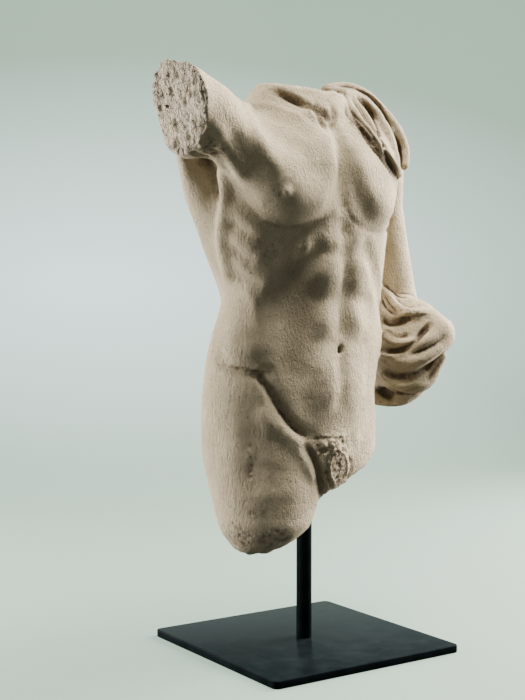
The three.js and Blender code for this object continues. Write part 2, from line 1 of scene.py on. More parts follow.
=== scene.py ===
"""A plaster cast of a broken classical torso on a steel stand, finished for a studio picture.

The carving is worked out in the figure's own frame, in millimetres: the origin is at the crotch
on the post's axis, +X is the figure's left, -Y its front and +Z up. The cast's mesh starts from
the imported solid, is drawn onto the carving, and then gets its finer relief.
"""

import itertools
import json
import logging
import math
from dataclasses import dataclass, replace
from enum import Enum
from typing import Callable, Sequence

import bmesh
import bpy
import numpy as np
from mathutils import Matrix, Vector
from mathutils.bvhtree import BVHTree

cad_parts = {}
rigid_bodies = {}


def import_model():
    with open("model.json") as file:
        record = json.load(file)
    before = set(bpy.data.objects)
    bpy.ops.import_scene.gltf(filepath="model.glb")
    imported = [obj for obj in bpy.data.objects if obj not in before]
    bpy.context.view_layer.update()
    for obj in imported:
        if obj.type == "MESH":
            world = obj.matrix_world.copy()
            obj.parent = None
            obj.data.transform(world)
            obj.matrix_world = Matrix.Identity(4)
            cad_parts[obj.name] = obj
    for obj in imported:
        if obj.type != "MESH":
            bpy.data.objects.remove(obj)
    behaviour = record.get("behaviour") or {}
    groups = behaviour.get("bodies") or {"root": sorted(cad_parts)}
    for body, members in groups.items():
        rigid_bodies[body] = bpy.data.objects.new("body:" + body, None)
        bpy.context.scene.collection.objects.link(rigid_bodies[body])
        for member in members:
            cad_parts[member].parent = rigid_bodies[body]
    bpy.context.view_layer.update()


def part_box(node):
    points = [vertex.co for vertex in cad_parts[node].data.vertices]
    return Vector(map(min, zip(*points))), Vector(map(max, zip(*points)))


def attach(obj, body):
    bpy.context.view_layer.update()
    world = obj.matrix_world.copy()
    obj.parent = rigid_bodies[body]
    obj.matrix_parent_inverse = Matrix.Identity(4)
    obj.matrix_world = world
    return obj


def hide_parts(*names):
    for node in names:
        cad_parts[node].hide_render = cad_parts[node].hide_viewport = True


log = logging.getLogger("torso")

Point = tuple[float, float, float]
Colour = tuple[float, float, float, float]
Pixel = tuple[float, float]
Socket = bpy.types.NodeSocket
Places = np.ndarray
Distances = np.ndarray

MM = 0.001
FAR = 100.0
MARGIN = 45.0
TINY = 1e-9
SMALL = 1e-6

# The factors, shifts and masks of the noise's hash
CELL_FACTORS = (73856093, 19349663, 83492791)
SEED_FACTOR, SEED_SHIFT = 2654435, 7.31
SCRAMBLES = ((13, 1274126177), (11, 668265263))
LOW_BITS, VALUE_BITS, VALUE_SHIFT = 0x7FFFFFFF, 0xFFFF, 8


def smooth_union(a: Distances, b: Distances, blend: float) -> Distances:
    """Distances to two forms joined with a seam that is soft over a blend in millimetres."""
    share = np.clip(1 - np.abs(a - b) / blend, 0, 1)
    return np.minimum(a, b) - share * share * blend * 0.25


def smooth_intersection(a: Distances, b: Distances, blend: float) -> Distances:
    """Distances to what two forms share, with an edge that is soft over a blend in millimetres."""
    return -smooth_union(-a, -b, blend)


def where_near(places: Places, low: Places, high: Places,
               distance: Callable[[Places], Distances]) -> Distances:
    """Work out distances near a box only, and give the rest a large one.

    Args:
        places: Points, one a row.
        low: The box's lowest corner.
        high: The box's highest corner.
        distance: What gives the distances of the points near the box.

    Returns:
        One distance for each point.
    """
    near = np.ones(len(places), bool)
    for axis in range(3):
        near &= (places[:, axis] > low[axis] - MARGIN) & (places[:, axis] < high[axis] + MARGIN)
    chosen = np.flatnonzero(near)
    result = np.full(len(places), FAR)
    if len(chosen):
        result[chosen] = distance(places[chosen])
    return result


def noise(places: Places, size: float, seed: int) -> Distances:
    """Smooth noise between -1 and 1.

    Args:
        places: Points, one a row.
        size: How far apart its lumps are, in millimetres.
        seed: Which pattern.

    Returns:
        One value for each point.
    """
    cell = places / size + seed * SEED_SHIFT
    base = np.floor(cell)
    t = cell - base
    t = t * t * (3 - 2 * t)
    base = base.astype(np.int64)
    total = np.zeros(len(places))
    for corner in itertools.product((0, 1), repeat=3):
        mixed = np.bitwise_xor.reduce((base + corner) * CELL_FACTORS, axis=1) ^ seed * SEED_FACTOR
        for shift, factor in SCRAMBLES:
            mixed = ((mixed ^ (mixed >> shift)) * factor) & LOW_BITS
        value = (mixed >> VALUE_SHIFT & VALUE_BITS) / (VALUE_BITS / 2) - 1
        total += value * np.prod(np.where(corner, t, 1 - t), axis=1)
    return total


@dataclass(frozen=True)
class Egg:
    """An egg of three radii, turned about the vertical by a heading in degrees."""

    centre: Point
    radii: Point
    heading: float = 0.0

    def distance(self, places: Places) -> Distances:
        """Distance from each point to the egg."""
        centre = np.array(self.centre)
        reach = max(self.radii)
        return where_near(places, centre - reach, centre + reach, self._distance)

    def _distance(self, places: Places) -> Distances:
        cos, sin = math.cos(math.radians(self.heading)), math.sin(math.radians(self.heading))
        dx, dy, dz = (places - self.centre).T
        rx, ry, rz = self.radii
        u, v, w = (dx * cos + dy * sin) / rx, (dy * cos - dx * sin) / ry, dz / rz
        near = np.sqrt(u * u + v * v + w * w)
        slope = np.sqrt((u / rx) ** 2 + (v / ry) ** 2 + (w / rz) ** 2)
        return near * (near - 1) / np.maximum(slope, TINY)


@dataclass(frozen=True)
class Limb:
    """A chain of round tapering pieces through points (x, y, z, radius)."""

    points: Sequence[Sequence[float]]

    def distance(self, places: Places) -> Distances:
        """Distance from each point to the limb."""
        chain = np.array([tuple(point) + (0.0,) * (4 - len(point)) for point in self.points], float)
        low = (chain[:, :3] - chain[:, 3:]).min(axis=0)
        high = (chain[:, :3] + chain[:, 3:]).max(axis=0)
        return where_near(places, low, high, lambda near: self._distance(near, chain))

    @staticmethod
    def _distance(places: Places, chain: np.ndarray) -> Distances:
        nearest = np.full(len(places), np.inf)
        for start, end in zip(chain[:-1], chain[1:]):
            run = end[:3] - start[:3]
            offset = places - start[:3]
            t = np.clip(offset @ run / (run @ run), 0, 1)
            offset -= t[:, None] * run
            apart = np.sqrt(np.einsum("ij,ij->i", offset, offset))
            nearest = np.minimum(nearest, apart - start[3] - t * (end[3] - start[3]))
        return nearest


def smooth_path(points: Sequence[Sequence[float]], steps: int = 4) -> np.ndarray:
    """Round off a path, so that it runs through its points without corners.

    Args:
        points: Points on the path, each of any length.
        steps: How many pieces each stretch gets.

    Returns:
        The points of the smooth path, one a row.
    """
    path = np.array([tuple(point) for point in points], float)
    ends = np.vstack([2 * path[0] - path[1], path, 2 * path[-1] - path[-2]])
    smooth = []
    for before, low, high, after in zip(ends, ends[1:], ends[2:], ends[3:]):
        for t in np.arange(steps) / steps:
            smooth.append(0.5 * (2 * low + t * (high - before)
                                 + t * t * (2 * before - 5 * low + 4 * high - after)
                                 + t ** 3 * (3 * low - before - 3 * high + after)))
    return np.vstack([smooth, path[-1:]])


@dataclass(frozen=True)
class Plane:
    """The half space behind a plane. Where a piece broke off, its face is chips between creases."""

    point: Point
    normal: Point
    blend: float
    lumps: Sequence[tuple[float, float]] = ()
    skin: float = 10.0

    def flat_distance(self, places: Places) -> Distances:
        """Distance from each point to the plane without its lumps."""
        normal = np.array(self.normal) / np.linalg.norm(self.normal)
        return (places - self.point) @ normal

    def distance(self, places: Places) -> Distances:
        """Distance from each point to the rough face."""
        apart = self.flat_distance(places)
        close = np.flatnonzero(np.abs(apart) < self.blend + self.skin)
        for seed, (size, height) in enumerate(self.lumps):
            apart[close] += height * (1 - 2 * np.abs(noise(places[close], size, seed)))
        return apart

    def cut(self, distances: Distances, places: Places) -> Distances:
        """Cut a form off at the plane."""
        return smooth_intersection(distances, self.distance(places), self.blend)


@dataclass(frozen=True)
class Mass:
    """A form that joins others with a soft seam."""

    form: Egg | Limb
    blend: float


@dataclass(frozen=True)
class Sheet:
    """A flat muscle: the skin raised by a small height inside an outline."""

    outline: Egg
    rise: float
    soft: float
    blend: float
    full_below: float = 435.0
    gone_above: float = 515.0

    def raised(self, distances: Distances, places: Places) -> Distances:
        """Distances to the raised skin, which runs out towards the sheet's top."""
        share = (self.gone_above - places[:, 2]) / (self.gone_above - self.full_below)
        skin = distances - self.rise * np.clip(share, 0, 1)
        return smooth_intersection(skin, self.outline.distance(places), self.soft)


@dataclass(frozen=True)
class Swell:
    """A low mound on the skin, highest at its centre."""

    centre: Point
    radii: Point
    rise: float

    def lift(self, places: Places) -> Distances:
        """How far each point is raised."""
        offset = (places - self.centre) / self.radii
        s = np.einsum("ij,ij->i", offset, offset)
        return self.rise * np.clip(1 - s, 0, 1) ** 2


@dataclass(frozen=True)
class Furrow:
    """A furrow along a path, deepest on the path. A negative depth is a ridge."""

    points: Sequence[Point]
    reach: float
    depth: float

    def lift(self, places: Places) -> Distances:
        """How far each point is lowered."""
        s = (Limb(self.points).distance(places) / self.reach) ** 2
        return self.depth * np.clip(1 - s, 0, 1) ** 2


def join(distances: Distances, masses: Sequence[Mass], places: Places) -> Distances:
    """Join masses to a form, one after another, and return the distances to the joined form."""
    for mass in masses:
        distances = smooth_union(distances, mass.form.distance(places), mass.blend)
    return distances


@dataclass(frozen=True)
class Trunk:
    """The trunk: rounded sections, each with its height, centre, half width and half depth."""

    sections: Sequence[Sequence[float]] = (
        (-40, -28, 6, 100, 70),
        (20, -26, 3, 118, 86),
        (70, -27, 1, 126, 90),
        (124, -27, 0, 128, 91),
        (193, -18, 0, 128, 89),
        (262, -5, 0, 118, 86),
        (331, -12, 0, 131, 95),
        (400, -10, 0, 140, 98),
        (460, -6, 2, 138, 90),
        (505, 4, 6, 92, 64),
        (540, 2, 8, 62, 50),
        (580, 0, 10, 58, 46),
    )
    squareness: float = 2.25

    def _section(self, heights: np.ndarray) -> np.ndarray:
        table = np.array(self.sections, float)
        last = len(table) - 1
        i = np.clip(np.searchsorted(table[:, 0], heights) - 1, 0, last - 1)
        before, low = table[np.maximum(i - 1, 0)], table[i]
        high, after = table[i + 1], table[np.minimum(i + 2, last)]
        span = high[:, :1] - low[:, :1]
        t = np.clip((heights[:, None] - low[:, :1]) / span, 0, 1)
        slope_low = (high - before) / (high[:, :1] - before[:, :1]) * span
        slope_high = (after - low) / (after[:, :1] - low[:, :1]) * span
        drop = low - high
        value = low + t * (slope_low + t * (-3 * drop - 2 * slope_low - slope_high
                                            + t * (2 * drop + slope_low + slope_high)))
        return value[:, 1:]

    def distance(self, places: Places) -> Distances:
        """Distance from each point to the trunk."""
        cx, cy, width, depth = self._section(places[:, 2]).T
        x, y = places[:, 0] - cx, places[:, 1] - cy
        share = np.abs(x / width) ** self.squareness + np.abs(y / depth) ** self.squareness
        share = np.maximum(share ** (1 / self.squareness), SMALL)
        reach = np.hypot(x, y)
        return reach - reach / share


MIDLINE: Sequence[Point] = ((-20, -98, 362), (-12, -94, 293), (-18, -92, 211), (-26, -94, 130))


@dataclass(frozen=True)
class Figure:
    """The carved form of the torso and its cloak, in the figure's own frame."""

    trunk: Trunk = Trunk()
    trunk_masses: Sequence[Mass] = (
        Mass(Limb([(26, 0, 90, 64), (31, -8, 20, 64)]), 26),
        Mass(Egg((12, 44, 80), (54, 52, 62)), 24),
        Mass(Limb([(112, 40, 450, 32), (92, 48, 390, 32), (66, 48, 320, 26)]), 22),
        Mass(Limb([(-158, 29, 452, 30), (-138, 44, 402, 28), (-109, 45, 345, 25), (-78, 42, 285, 22)]), 22),
        Mass(Egg((106, 12, 466), (60, 56, 64)), 26),
        Mass(Limb([(88, 14, 500, 30), (30, 16, 520, 36)]), 24),
        Mass(Limb([(-94, 8, 474, 26), (-54, 10, 516, 32)]), 24),
        Mass(Egg((-32, -62, 60), (34, 30, 40)), 16),
    )
    neck_break: Plane = Plane((-10, 0, 543), (0.08, -0.1, 1), 6, ((16, 1.6), (6, 0.9)))
    left_thigh_break: Plane = Plane((40, -30, 42), (0.44, 0.05, -1), 3, ((18, 2.2), (7, 1.1)))
    limbs: Sequence[Mass] = (
        Mass(Limb([(-78, -8, 110, 62), (-83, -15, 50, 67), (-84, -18, 14, 68), (-88, -22, -24, 63),
                   (-95, -26, -70, 50)]), 12),
        Mass(Egg((-70, 42, 76), (54, 52, 66)), 24),
        Mass(Limb([(-108, 2, 436, 50), (-172, -10, 478, 49), (-262, -34, 500, 54)]), 26),
        Mass(Limb([(-190, -2, 496, 30), (-262, 2, 528, 37)]), 16),
        Mass(Limb([(-200, -42, 487, 26), (-157, -55, 446, 24), (-118, -62, 410, 26)]), 30),
        Mass(Limb([(152, 14, 450, 42), (167, 19, 390, 34), (184, 20, 320, 34), (196, 20, 255, 38)]), 16),
    )
    arm_break: Plane = Plane((-236, -29, 500), (-1, 0.1, -0.12), 4, ((34, 2.5), (14, 2.0), (7, 1.5)))
    right_thigh_break: Plane = Plane((-112, -20, -66), (0.3, 0, -1), 40, ((16, 1.2), (6, 0.6)))
    sheets: Sequence[Sheet] = (
        Sheet(Egg((-90, -64, 470), (74, 84, 118)), 10, 20, 6),
        Sheet(Egg((50, -64, 466), (72, 84, 114)), 10, 20, 6),
    )
    hollows: Sequence[Mass] = (
        Mass(Egg((-178, 2, 416), (22, 24, 44), 10), 16),
        Mass(Egg((-66, -44, 530), (26, 11, 12), -28), 6),
        Mass(Egg((-22, -68, 502), (8, 12, 12)), 5),
        Mass(Egg((-20, -94, 196), (4, 8, 5)), 3),
    )
    swells: Sequence[Swell] = (
        Swell((-88, -92, 390), (52, 60, 40), 6),
        Swell((44, -92, 388), (50, 60, 40), 6),
        Swell((-126, -40, 238), (44, 56, 60), 6),
        Swell((-136, -26, 204), (38, 50, 32), 7),
        Swell((96, -20, 206), (44, 60, 44), 8),
        Swell((-28, -92, 140), (70, 60, 56), 5),
        Swell((-72, 96, 420), (56, 50, 62), 9),
        Swell((66, 96, 410), (52, 50, 62), 9),
        Swell((-52, 92, 240), (34, 40, 90), 6),
        Swell((20, 92, 240), (34, 40, 90), 6),
    )
    belly_blocks: Sequence[tuple[float, float, float, float]] = (
        (342, 26, 22, 4),
        (293, 33, 37, 6),
        (236, 33, 34, 5),
        (158, 36, 62, 4),
    )
    belly_front: float = -90.0
    belly_depth: float = 46.0
    block_from_midline: float = 0.84
    rib_fingers: int = 4
    first_finger: Point = (-146, -27, 371)
    finger_drop: Point = (5, -1, -34)
    finger_run: Point = (17, -26, -16)
    finger_reach: float = 19.0
    finger_rise: float = 2.5
    furrows: Sequence[Furrow] = (
        Furrow([(-23, -74, 479), (-29, -92, 440), (-25, -98, 385)], 18, 3),
        Furrow(MIDLINE, 17, 2),
        Furrow([(-27, -98, 350), (-64, -92, 326), (-92, -74, 284), (-116, -52, 258)], 20, 4),
        Furrow([(-10, -98, 350), (26, -94, 326), (62, -78, 284), (84, -56, 250)], 20, 4),
        Furrow([(-152, 2, 186), (-146, -30, 174), (-125, -62, 169)], 14, 5),
        Furrow([(-125, -62, 168), (-121, -73, 141), (-99, -87, 104), (-68, -95, 84)], 16, 6),
        Furrow([(92, -52, 160), (72, -74, 120), (30, -90, 84)], 18, 6),
        Furrow([(-147, -52, 118), (-146, -58, 70), (-142, -62, 30)], 26, 2.5),
        Furrow([(-133, -68, 112), (-106, -84, 92), (-79, -92, 67), (-62, -92, 38)], 20, -4),
        Furrow([(-160, -16, 418), (-150, -10, 382), (-147, 2, 340), (-136, 10, 292)], 18, -5),
        Furrow([(-34, -66, 500), (-76, -52, 510), (-120, -24, 508)], 15, -5),
        Furrow([(-12, 96, 500), (-14, 106, 400), (-14, 96, 250), (-24, 98, 150)], 26, 10),
        Furrow([(-28, 98, 130), (-30, 96, 80), (-32, 84, 30)], 20, 14),
        Furrow([(-80, -90, 72), (-69, -92, 58), (-61, -92, 42), (-52, -88, 24), (-44, -82, 4)], 12, 6.5),
    )
    cloth_lift: float = 5.0
    cloth_bottom: float = 420.0
    fold_blend: float = 5.0
    edge_blend: float = 4.0
    shoulder_edge: Plane = Plane((34, -87, 478), (-0.66, 0, -0.75), 4)
    neck_edge: Plane = Plane((36, -50, 505), (-1, 0, 0.1), 4)
    shoulder_folds: Sequence[Sequence[Sequence[float]]] = (
        ((41, -52, 511, 6), (39, -64, 498, 6), (39, -77, 486, 6), (44, -84, 473, 7), (54, -88, 461, 7),
         (66, -90, 450, 7), (80, -89, 440, 7), (95, -83, 430, 6)),
        ((58, -36, 528, 6), (60, -50, 512, 6), (60, -62, 496, 6), (62, -72, 480, 6), (70, -78, 464, 6),
         (82, -80, 449, 6), (95, -80, 436, 6)),
        ((44, -32, 537, 7), (66, -28, 537, 8), (88, -29, 529, 8), (104, -31, 516, 9), (110, -37, 502, 9),
         (112, -46, 487, 9), (112, -54, 470, 8), (110, -62, 453, 8), (106, -70, 436, 6)),
        ((34, -8, 545, 8), (70, -10, 550, 9), (104, -13, 542, 10), (130, -18, 523, 10),
         (151, -27, 496, 11), (160, -34, 470, 9), (152, -43, 448, 7)),
    )
    back_inner: Sequence[Point] = (
        (44, 22, 530), (52, 70, 480), (76, 92, 390), (104, 82, 300), (150, 44, 220))
    back_outer: Sequence[Point] = (
        (118, 10, 520), (150, 44, 484), (176, 50, 400), (190, 46, 310), (190, 26, 236))
    back_folds: int = 5
    back_fold_radius: float = 15.0
    bundle_folds: Sequence[Sequence[Sequence[float]]] = (
        ((165, 3, 272, 8), (158, -18, 252, 8), (162, -38, 241, 8), (182, -50, 240, 8), (208, -50, 238, 7)),
        ((140, -20, 216, 7), (144, -36, 203, 8), (157, -54, 197, 9), (180, -67, 204, 9), (204, -70, 220, 8)),
        ((136, -26, 182, 7), (148, -46, 173, 9), (168, -63, 177, 10), (194, -70, 192, 10),
         (214, -70, 204, 9)),
        ((138, -22, 154, 8), (150, -38, 141, 9), (168, -52, 137, 10), (192, -57, 148, 10),
         (212, -60, 178, 9)),
        ((130, 6, 124, 9), (144, -10, 118, 10), (160, -30, 118, 10), (184, -38, 129, 10),
         (203, -40, 151, 9)),
    )
    bundle: Egg = Egg((174, -8, 178), (43, 55, 68))
    forearm: Limb = Limb([(180, 16, 252, 29), (198, -28, 227, 31), (209, -53, 210, 28)])
    bundle_blend: float = 24.0
    cast_blend: float = 3.0

    def _belly(self) -> list[Swell]:
        """The blocks of the belly's straight muscle, beside its midline."""
        line = np.array(MIDLINE)[::-1]
        swells = []
        for z, half, tall, rise in self.belly_blocks:
            middle = np.interp(z, line[:, 2], line[:, 0])
            for side in (-1, 1):
                centre = (middle + side * half * self.block_from_midline, self.belly_front, z)
                swells.append(Swell(centre, (half, self.belly_depth, tall), rise))
        return swells

    def _ribs(self) -> list[Furrow]:
        """The fingers of muscle on the ribs under the right arm."""
        starts = [np.add(self.first_finger, np.multiply(i, self.finger_drop))
                  for i in range(self.rib_fingers)]
        return [Furrow([tuple(start), tuple(start + self.finger_run)], self.finger_reach,
                       -self.finger_rise) for start in starts]

    def body(self, places: Places) -> Distances:
        """Distance from each point to the naked figure."""
        d = join(self.trunk.distance(places), self.trunk_masses, places)
        d = self.neck_break.cut(d, places)
        d = self.left_thigh_break.cut(d, places)
        d = join(d, self.limbs, places)
        for sheet in self.sheets:
            d = smooth_union(d, sheet.raised(d, places), sheet.blend)
        for hollow in self.hollows:
            d = smooth_intersection(d, -hollow.form.distance(places), hollow.blend)
        for swell in [*self.swells, *self._belly()]:
            d = d - swell.lift(places)
        for furrow in [*self.furrows, *self._ribs()]:
            d = d + furrow.lift(places)
        d = self.arm_break.cut(d, places)
        return self.right_thigh_break.cut(d, places)

    def _folds(self) -> list[Limb]:
        """Every fold of the cloak, as a limb along a smooth curve."""
        inner, outer = np.array(self.back_inner, float), np.array(self.back_outer, float)
        radii = np.full(len(inner), self.back_fold_radius)
        back = [np.column_stack([inner + share * (outer - inner), radii])
                for share in np.linspace(0, 1, self.back_folds)]
        return [Limb(smooth_path(path)) for path in [*self.shoulder_folds, *back, *self.bundle_folds]]

    def cloth(self, places: Places) -> Distances:
        """Distance from each point to the cloak."""
        under = join(self.trunk.distance(places), self.trunk_masses, places)
        under = self.neck_break.cut(under, places) - self.cloth_lift
        band = self.shoulder_edge.cut(under, places)
        band = self.neck_edge.cut(band, places)
        band = smooth_intersection(band, self.cloth_bottom - places[:, 2], self.edge_blend)
        bundle = self.bundle.distance(places)
        bundle = smooth_union(bundle, self.forearm.distance(places), self.bundle_blend)
        d = np.minimum(band, bundle)
        for fold in self._folds():
            d = smooth_union(d, fold.distance(places), self.fold_blend)
        return d

    def whole(self, places: Places) -> Distances:
        """Distance from each point to the whole cast."""
        return smooth_union(self.body(places), self.cloth(places), self.cast_blend)


@dataclass(frozen=True)
class Setting:
    """Where the figure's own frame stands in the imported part."""

    turn: float = math.radians(8)
    crotch_height: float = 202.0

    @property
    def lift(self) -> float:
        """Height of the figure's crotch above the part's origin, in millimetres."""
        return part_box("base_plate")[1].z / MM + self.crotch_height

    def to_figure(self, places: Places) -> Places:
        """Turn points of the part, in metres, into points of the figure's frame."""
        cos, sin = math.cos(self.turn), math.sin(self.turn)
        x, y, z = (places / MM).T
        return np.column_stack([x * cos + y * sin, y * cos - x * sin, z - self.lift])


@dataclass(frozen=True)
class View:
    """The camera, and the places on the cast that it sees at a pixel of the frame."""

    azimuth: float = math.radians(-33.835)
    elevation: float = math.radians(2.745)
    distance: float = 1.7656
    aim_right: float = -0.05684
    aim_height: float = 0.4041
    lens: float = 66.81
    sensor: float = 36.0
    width: int = 525
    height: int = 700
    nearest: float = 0.05
    farthest: float = 30.0

    @property
    def back(self) -> Vector:
        """The direction from the cast to the camera."""
        level = math.cos(self.elevation)
        return Vector((math.sin(self.azimuth) * level, -math.cos(self.azimuth) * level,
                       math.sin(self.elevation)))

    @property
    def level(self) -> Vector:
        """The level direction from the cast towards the camera."""
        return Vector((self.back.x, self.back.y, 0)).normalized()

    @property
    def right(self) -> Vector:
        """The direction to the right of the frame."""
        return Vector((math.cos(self.azimuth), math.sin(self.azimuth), 0))

    @property
    def up(self) -> Vector:
        """The direction to the top of the frame."""
        return self.back.cross(self.right)

    @property
    def place(self) -> Vector:
        """Where the camera stands."""
        return self.right * self.aim_right + Vector((0, 0, self.aim_height)) + self.back * self.distance

    def ray(self, pixel: Sequence[float]) -> Vector:
        """The direction that the camera sees a pixel in."""
        focal = self.lens / self.sensor * self.height
        across, down = pixel[0] - self.width / 2, pixel[1] - self.height / 2
        return (self.right * across - self.up * down - self.back * focal).normalized()

    def trace(self, surface: BVHTree, pixels: Sequence[Sequence[float]]) -> tuple[Places, Places]:
        """Find a path of pixels on a surface.

        Args:
            surface: The surface.
            pixels: The path, in the frame.

        Returns:
            The points on the surface, and the surface's normals there.
        """
        hits = [surface.ray_cast(self.place, self.ray(pixel)) for pixel in pixels]
        seen = [(hit[0], hit[1]) for hit in hits if hit[0] is not None]
        return (np.array([place for place, _ in seen]).reshape(-1, 3),
                np.array([normal for _, normal in seen]).reshape(-1, 3))

    def build(self) -> None:
        """Set the camera up."""
        data = bpy.data.cameras.new("camera")
        data.lens, data.sensor_width, data.sensor_fit = self.lens, self.sensor, "AUTO"
        data.clip_start, data.clip_end = self.nearest, self.farthest
        camera = add_object("camera", data)
        camera.location = self.place
        camera.rotation_euler = self.back.to_track_quat("Z", "Y").to_euler()
        bpy.context.scene.camera = camera


class Profile(Enum):
    """How a chiselled line's depth runs across it."""

    SOFT = "soft"
    SHARP = "sharp"
    STEP = "step"


# How fast a stroke deepens from its ends, its share of the depth there, and how soft a step's edge is
END_RATE = 5.0
END_SHARE = 0.25
STEP_EDGE = 1.5


@dataclass(frozen=True)
class Stroke:
    """A chiselled line along a path of pixels. A negative depth stands up from the skin.

    A step is cut on the right of its path, as one walks along it in the frame, and fills its left.
    Its brown, from 0 to 1, is how far a deep cut is browned: dirt in some, painted shade in others.
    """

    path: Sequence[Pixel]
    reach: float
    depth: float
    profile: Profile = Profile.SOFT
    dust_and_shade: float = 0.0

    def lift(self, places: Places, route: Places, normals: Places) -> Distances:
        """How far the stroke moves each point along its normal.

        Args:
            places: Points, one a row, in millimetres.
            route: The stroke's path on the surface, in millimetres.
            normals: The surface's normals along the path.

        Returns:
            A height for each point, negative where the skin is cut.
        """
        heights = np.zeros(len(places))
        low, high = route.min(axis=0) - self.reach, route.max(axis=0) + self.reach
        near = np.flatnonzero(np.all((places > low) & (places < high), axis=1))
        if not len(near):
            return heights
        close = places[near]
        nearest, side = np.full(len(near), np.inf), np.zeros(len(near))
        fade = np.ones(len(near))
        lengths = np.linalg.norm(np.diff(route, axis=0), axis=1)
        gone = np.concatenate([[0], np.cumsum(lengths)])
        for i, (start, end) in enumerate(zip(route[:-1], route[1:])):
            run = end - start
            offset = close - start
            t = np.clip(offset @ run / max(run @ run, TINY), 0, 1)
            apart = offset - t[:, None] * run
            far = np.linalg.norm(apart, axis=1)
            closer = far < nearest
            nearest[closer] = far[closer]
            across = np.cross(normals[i], run)
            side[closer] = np.sign(apart[closer] @ across)
            along = (gone[i] + t * lengths[i]) / max(gone[-1], TINY)
            fade[closer] = np.clip(np.minimum(along, 1 - along)[closer] * END_RATE, 0, 1)
        s = np.clip(nearest / self.reach, 0, 1)
        fade = END_SHARE + (1 - END_SHARE) * np.sin(fade * math.pi / 2)
        if self.profile is Profile.SOFT:
            shape = -(1 - s * s) ** 2
        elif self.profile is Profile.SHARP:
            shape = -(1 - s) ** 2
        else:
            shape = side * (1 - s) ** 2 * np.clip(nearest / STEP_EDGE, 0, 1)
        heights[near] = self.depth * fade * shape
        return heights


@dataclass(frozen=True)
class Lump:
    """A low mound at a pixel of the frame, with half sizes in millimetres along and across it.

    The slant turns it in the frame, clockwise in degrees. A negative rise is a dent, and its share of
    brown, from 0 to 1, is how far the dent is browned: dirt in some dents, painted shade in others.
    """

    pixel: Pixel
    along: float
    across: float
    rise: float
    slant: float = 0.0
    dust_and_shade: float = 0.0

    def lift(self, places: Places, centre: Places, normal: Places, view: View) -> Distances:
        """How far the lump moves each point along its normal.

        Args:
            places: Points, one a row, in millimetres.
            centre: The lump's centre on the surface, in millimetres.
            normal: The surface's normal there.
            view: The camera that the pixel belongs to.

        Returns:
            A height for each point.
        """
        slant = math.radians(self.slant)
        first = np.array(view.right * math.cos(slant) - view.up * math.sin(slant))
        first -= normal * (first @ normal)
        first /= np.linalg.norm(first)
        second = np.cross(normal, first)
        offset = places - centre
        u, v = offset @ first / self.along, offset @ second / self.across
        w = offset @ normal / max(self.along, self.across)
        return self.rise * np.clip(1 - u * u - v * v - w * w, 0, 1) ** 2


# Which noise the creases and the grains of a rough place are taken from
CREASE_SEED, GRAIN_SEED = 11, 12


@dataclass(frozen=True)
class Patch:
    """A rough place at a pixel of the frame: chips of a size and height, in millimetres.

    Its half sizes, slant and share of brown are those of a lump.
    """

    pixel: Pixel
    along: float
    across: float
    size: float
    height: float
    slant: float = 0.0
    dust_and_shade: float = 0.65

    def lift(self, places: Places, centre: Places, normal: Places, view: View) -> Distances:
        """How far the patch moves each point along its normal.

        Args:
            places: Points, one a row, in millimetres.
            centre: The patch's centre on the surface, in millimetres.
            normal: The surface's normal there.
            view: The camera that the pixel belongs to.

        Returns:
            A height for each point.
        """
        outline = Lump(self.pixel, self.along, self.across, 1.0, self.slant)
        share = np.sqrt(outline.lift(places, centre, normal, view))
        heights = np.zeros(len(places))
        near = np.flatnonzero(share > 0)
        chips = 2 * np.abs(noise(places[near], self.size, CREASE_SEED)) - 0.5
        chips += 0.5 * noise(places[near], self.size / 2, GRAIN_SEED)
        heights[near] = self.height * np.minimum(share[near] * 2, 1) * chips
        return heights


def add_object(name: str, data: bpy.types.ID) -> bpy.types.Object:
    """Make an object of a mesh, a camera or a light, put it into the scene and return it."""
    item = bpy.data.objects.new(name, data)
    bpy.context.scene.collection.objects.link(item)
    return item


def work_on(piece: bpy.types.Object) -> None:
    """Make a piece the only one that is selected and active."""
    for item in bpy.context.view_layer.objects:
        item.select_set(False)
    piece.select_set(True)
    bpy.context.view_layer.objects.active = piece


def apply_modifier(piece: bpy.types.Object, kind: str, **settings: float | int | str | bool) -> None:
    """Add a modifier to a piece and apply it.

    Args:
        piece: The piece.
        kind: Blender's name for the modifier.
        settings: Its settings.
    """
    work_on(piece)
    modifier = piece.modifiers.new(kind.lower(), kind)
    for name, value in settings.items():
        setattr(modifier, name, value)
    bpy.ops.object.modifier_apply(modifier=modifier.name)


def read(items: bpy.types.bpy_prop_collection, name: str, width: int, kind: type) -> np.ndarray:
    """Read the numbers that each item of a mesh has under a name.

    Args:
        items: The mesh's vertices, edges or normals.
        name: What is read.
        width: How many numbers an item has.
        kind: What kind of number they are.

    Returns:
        The numbers, one item a row.
    """
    flat = np.empty(len(items) * width, kind)
    items.foreach_get(name, flat)
    return flat.reshape(-1, width)


def places_of(piece: bpy.types.Object) -> Places:
    """The places of a piece's vertices, in metres."""
    return read(piece.data.vertices, "co", 3, np.float32).astype(float)


def move_to(piece: bpy.types.Object, places: Places) -> None:
    """Move a piece's vertices, in metres."""
    piece.data.vertices.foreach_set("co", places.astype(np.float32).ravel())
    piece.data.update()


def normals_of(piece: bpy.types.Object) -> Places:
    """The normals at a piece's vertices."""
    return read(piece.data.vertex_normals, "vector", 3, np.float32).astype(float)


def edges_of(piece: bpy.types.Object) -> np.ndarray:
    """The two ends of each of a piece's edges."""
    return read(piece.data.edges, "vertices", 2, np.int32)


